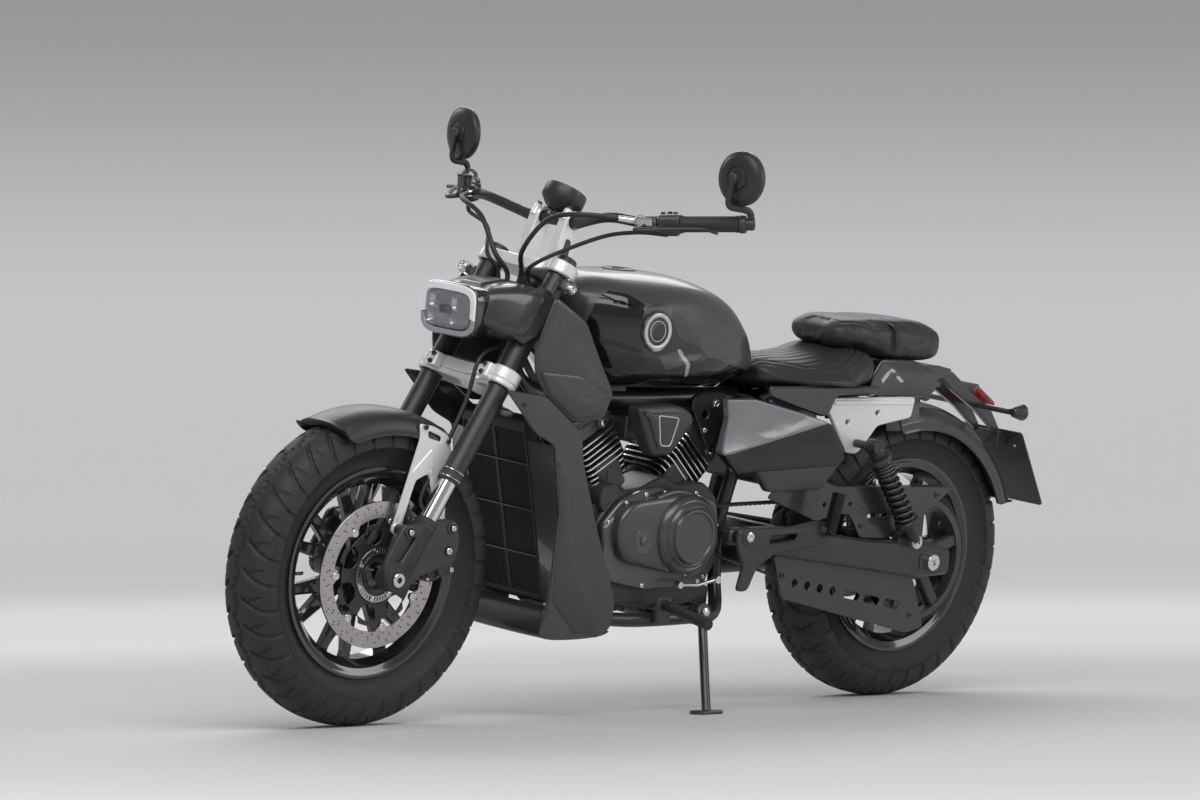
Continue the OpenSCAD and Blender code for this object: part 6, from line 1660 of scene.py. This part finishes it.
arm = rounded([(-846.4, 743), (-846.4, 731), (-900, 690.5), (-990, 640.5), (-1050, 597), (-1067.6, 581),
               (-1067.6, 603), (-1040, 639.5), (-960, 689.5), (-900, 729)], 3, 2)
holder = both(slab(arm, 24.3, 37.7, 1.5)) + [slab([(-1060.4, 566.4), (-1060.4, 595.6), (-1077.4, 595.6),
    (-1094, 566.4)], -43.6, 43.6, 1)]
piece("plate_bracket", holder, mould, "chassis", (), 30)
sheet = slab(rounded([(-191.5, -99.5), (-1, -99.5), (-1, 99.5), (-191.5, 99.5)], 9, 4), 0.2, 3.8, 0.5,
             [arc(-40 - s * 0.5, 64 * s, 3.6, n=20) for s in (-1, 1)], "plan")
v = sheet[0].copy()
d, n = np.array([-0.488, 0, -0.873]), np.array([-0.873, 0, 0.488])
sheet = outward((np.array([-1076, 0, 600]) - v[:, :1] * d + v[:, 2:] * n + v[:, 1:2] * [0, 1, 0], sheet[1]))
piece("number_plate_blank", [sheet], mould_grey, "chassis", ["plate_holder"], 35)

# --- Exhaust ------------------------------------------------------------------------------------
# Two bent steel header pipes on the right run into one long black silencer with a rolled end
# cone, held by a welded block on the frame.
axis_d = np.array([-0.99966, 0, 0.026])
body = revolve([(0, 20), (0, 27.6), (4, 28.6), (30, 34), (60, 42), (86, 47.4), (92, 48), (96, 47),
                (100, 48), (540, 48), (545, 46.6), (550, 48), (567, 48), (576, 46), (602, 32.6), (603, 31),
                (600, 28), (560, 27), (556, 4)], (0, 0, 0), 72, axis=2)
v = body[0]
silencer = outward((np.array([-176, -217, 284]) + v[:, 2:3] * axis_d + v[:, :1] * [0, 1, 0] + v[:,
    1:2] * np.array([0.026, 0, 0.99966]), body[1]))
pipe_1 = body_tube([(186, -73, 544), (186, -84.2, 544), (186, -106.2, 544), (206, -146.2, 500),
                    (210, -180, 440), (190, -180, 360), (120, -180, 306), (0, -180, 298), (-100, -188, 290),
                    (-180, -217, 284)], 20.8, 26, 5)
pipe_2 = body_tube([(-62, -73, 524), (-62, -84.2, 524), (-62, -106.2, 524), (-52, -152.2, 516),
                    (-34, -182, 470), (-14, -182, 400), (-34, -182, 330), (-90, -186, 294)], 18.8, 26, 5)
flanges = [revolve([(-73, 14), (-73, 27), (-78, 28), (-80, 27), (-80, 14)], (x, 0, z), 36)
           for x, z in ((186, 544), (-62, 524))]
exhaust_black = finish("heat_resistant_black", (0.016, 0.016, 0.016), 0.42, grain=600, bump=0.08, worn=None,
                       blotch=0.2)
piece("exhaust_pipes_and_silencer", [silencer, pipe_1, pipe_2,
                                     slab(rounded([(-250, 319), (-220, 319), (-220, 373), (-250, 373)], 3,
                                                  2), -216, -173.4, 2)] + flanges,
      exhaust_black, "chassis", ["exhaust"], 45)

# --- Foot pegs and gear linkage ---------------------------------------------------------------------
# Cast hangers with a long slot, rubber-topped folding passenger pegs, the rider's rubber pegs
# further forward, and on the left the thin bright rod of the gear linkage.
hanger = rounded([(-143, 413), (-143, 375), (-166, 330), (-153, 277), (-186, 277), (-210, 330), (-260, 356),
                  (-400, 372), (-439, 400), (-430, 419), (-370, 424), (-300, 414)], 12, 4)
hangers = both(slab(hanger, 161.3, 172.7, 3, [rounded([(-240, 378), (-320, 386), (-320, 398), (-240, 394)],
    5, 3)]))
hangers += [revolve([(s * 151.4, 4), (s * 151.4, 19), (s * 153, 20), (s * 174, 20), (s * 175, 19),
                     (s * 175, 4)], (-173, 0, 395), 40) for s in (-1, 1)]
hangers += both(tube([(-404, 172, 404), (-404, 187, 404)], 14,
                     24)) + both(slab(rounded([(10.4, 208.4), (49.6, 208.4), (49.6, 265.6), (10.4, 265.6)],
                                              6, 3), 134.3, 146.8, 2))
piece("peg_hangers", hangers, cast_black, "chassis", ["foot_pegs"], 35)
piece("peg_pivot_bolts", both(bolt(-173, 395, 174.6, 11, 1, 5)), bright_steel, "chassis")
pads = []
for s in (-1, 1):
    strip = slab(rounded([(-11.6, -13.5), (11.6, -13.5), (11.6, 81.5), (-11.6, 81.5)], 4, 3), -11.6, 9.6,
                 2.4)
    pads.append(turned((strip[0] + [-404, 187, 408], strip[1]), math.radians(12), (-404, 187, 408)))
    for h in range(9):
        bar = slab(rounded([(-9, -10 + h * 10), (9, -10 + h * 10), (9, -5 + h * 10), (-9, -5 + h * 10)],
                           1.5, 2), 9, 11.2, 0.7)
        pads.append(turned((bar[0] + [-404, 187, 408], bar[1]), math.radians(12), (-404, 187, 408)))
    if s < 0:
        pads = [outward((p[0] * [1, -1, 1], p[1])) for p in pads] + pads
along = np.linspace(0, 139, 140)
knurl = 11.2 + 0.8 * (np.sin(along * 0.75) > -0.2) * (along > 22)
peg = revolve([(0, 2)] + list(zip(along, knurl)) + [(139.5, 2)], (0, 0, 0), 30, axis=1)
droop = math.radians(8)
for s in (-1, 1):
    v = peg[0] if s > 0 else peg[0] * [1, -1, 1]
    out = np.stack([v[:, 0], v[:, 1] * math.cos(droop) + s * v[:, 2] * math.sin(droop),
                    v[:, 2] * math.cos(droop) - np.abs(v[:, 1]) * math.sin(droop)], -1) + [30, s * 146, 250]
    pads.append(outward((out, peg[1])))
piece("peg_rubbers", pads, hose_rubber, "chassis")
linkage = [tube([(-118, 142, 300), (-60, 146, 290), (-4, 150, 292)], 4, 14),
           revolve([(134, 3), (134, 8), (150, 8), (150, 3)], (-118, 0, 300), 20),
           revolve([(138, 3), (138, 7), (154, 7), (154, 3)], (-4, 0, 292), 20)]
piece("gear_rod", linkage, bright_steel, "chassis")

# --- Side stand -------------------------------------------------------------------------------------
# A forged hub on its pivot bolt below the frame, a bent solid leg and a flat welded foot.
leg_top, foot = np.array([-78, 148, 232.0]), np.array([-26, 244, 40.0])
stand = [at_stand(revolve([(-9, 6.4), (-9, 18), (-8, 19), (8, 19), (9, 18), (9, 6.4), (-9, 6.4)], (0, 0, 0),
                          40, axis=2)),
         body_tube([leg_top + [0, 2, -4], leg_top * 0.5 + foot * 0.5, foot + [0, 0, -2]], 9.8, 20, 8)]
pad = slab(rounded([(-30, -20), (30, -20), (38, -8), (34, 22), (-26, 26), (-36, 6)], 6, 3), 0.1, 7.9, 1.5,
           (), "plan")
stand.append(moved(turned(pad, math.radians(8), (0, 0, 0), 0), (-26, 244, 32.5)))
piece("side_stand_forging", stand, frame_steel, "side_stand", ["side_stand"], 45)

# --- Studio and camera ---------------------------------------------------------------------------
# A pale round bowl makes floor and walls in one; large soft lamps stand over and in front of the
# machine, and a long lens looks at it level from the left front.


def studio():
    """The bowl is flat for 13 m, bends up over 8 m and glows more the further out it runs; from
    outside it is clear. Then come three area lamps, the world and the camera."""
    n = 96
    bend = np.linspace(0, np.pi / 2, 25)
    radius = np.concatenate([[0.5, 2, 4, 8], 13 + 8 * np.sin(bend), [21]])
    height = np.concatenate([[0, 0, 0, 0], 8 - 8 * np.cos(bend), [14]])
    around = np.linspace(0, 2 * np.pi, n, endpoint=False)
    grid = np.stack([radius[:, None] * np.cos(around), radius[:, None] * np.sin(around),
                     height[:, None] + 0 * around], -1)
    run = np.concatenate([[0.5], 0.5 + np.cumsum(np.hypot(np.diff(radius), np.diff(height)))])
    i, j = np.meshgrid(np.arange(len(radius) - 1), np.arange(n), indexing="ij")
    k = (j + 1) % n
    quads = np.stack([i * n + j, (i + 1) * n + j, (i + 1) * n + k, i * n + k], -1).reshape(-1, 4)
    floor_mesh = bpy.data.meshes.new("studio_bowl")
    floor_mesh.from_pydata(grid.reshape(-1, 3).tolist(), [], [list(range(n))] + quads.tolist())
    floor_mesh.polygons.foreach_set("use_smooth", [True] * (len(quads) + 1))
    row = np.concatenate([np.zeros(n, int), quads.ravel() // n])
    layer = floor_mesh.uv_layers.new(name="out_from_the_middle")
    layer.data.foreach_set("uv", np.stack([run[row] / run[-1], run[row] * 0], -1).ravel())
    floor = bpy.data.objects.new("studio_bowl", floor_mesh)
    bpy.context.scene.collection.objects.link(floor)
    paper = finish("studio_grey", (0.60, 0.60, 0.61), 0.7, grain=60, bump=0.02, blotch=0.01)
    tree = paper.node_tree
    spot, split, ramp = [tree.nodes.new(k) for k in ("ShaderNodeUVMap", "ShaderNodeSeparateXYZ",
        "ShaderNodeValToRGB")]
    spot.uv_map = "out_from_the_middle"
    tree.links.new(spot.outputs["UV"], split.inputs["Vector"])
    tree.links.new(split.outputs["X"], ramp.inputs["Fac"])
    tree.links.new(ramp.outputs["Color"], tree.nodes["Principled BSDF"].inputs["Emission Color"])
    tree.nodes["Principled BSDF"].inputs["Emission Strength"].default_value = 1.0
    ramp.color_ramp.interpolation = "EASE"
    for reach, glow in ((1.8, 0.0), (3.4, 0.18), (5.2, 0.33), (17.0, 0.35), (20.2, 0.09)):
        stop = ramp.color_ramp.elements.new(reach / run[-1])
        stop.color = (glow, glow, glow * 1.01, 1)
    ramp.color_ramp.elements[0].color = (0, 0, 0, 1)
    ramp.color_ramp.elements[-1].color = (0.09, 0.09, 0.09, 1)
    side, clear, mix = [tree.nodes.new(k) for k in ("ShaderNodeNewGeometry", "ShaderNodeBsdfTransparent",
                                                    "ShaderNodeMixShader")]
    end = tree.nodes["Material Output"].inputs["Surface"]
    tree.links.new(side.outputs["Backfacing"], mix.inputs[0])
    tree.links.new(end.links[0].from_socket, mix.inputs[1])
    tree.links.new(clear.outputs["BSDF"], mix.inputs[2])
    tree.links.new(mix.outputs["Shader"], end)
    floor_mesh.materials.append(paper)
    for name, place, size, power, aim in (
            ("key_lamp", (2.4, 2.6, 4.2), (5.0, 3.0), 175, (0.1, 0, 0.5)),
            ("back_lamp", (-1.6, -3.4, 3.6), (6.0, 1.6), 120, (0, 0, 0.6)),
            ("side_lamp", (-3.4, 4.4, 2.2), (2.6, 2.6), 60, (-0.4, 0, 0.4))):
        lamp = bpy.data.lights.new(name, "AREA")
        lamp.shape = "RECTANGLE"
        lamp.size, lamp.size_y = size
        lamp.energy = power
        obj = bpy.data.objects.new(name, lamp)
        obj.location = place
        obj.rotation_euler = (Vector(aim) - Vector(place)).to_track_quat("-Z", "Y").to_euler()
        bpy.context.scene.collection.objects.link(obj)
    world = bpy.data.worlds.new("studio_world")
    world.use_nodes = True
    world.node_tree.nodes["Background"].inputs["Color"].default_value = (0.75, 0.76, 0.78, 1)
    world.node_tree.nodes["Background"].inputs["Strength"].default_value = 0.34
    bpy.context.scene.world = world
    lens = bpy.data.cameras.new("studio_camera")
    lens.lens = 160.8
    lens.sensor_width = 36
    lens.shift_x = -0.0136
    lens.clip_end = 100
    camera = bpy.data.objects.new("studio_camera", lens)
    camera.location = (7.8775, 8.188, 0.733)
    turn = math.radians(46.84)
    aim = Vector((-math.cos(turn), -math.sin(turn), -0.00635))
    camera.rotation_euler = aim.to_track_quat("-Z", "Y").to_euler()
    bpy.context.scene.collection.objects.link(camera)
    bpy.context.scene.camera = camera
    bpy.context.scene.view_settings.view_transform = "Standard"


studio()
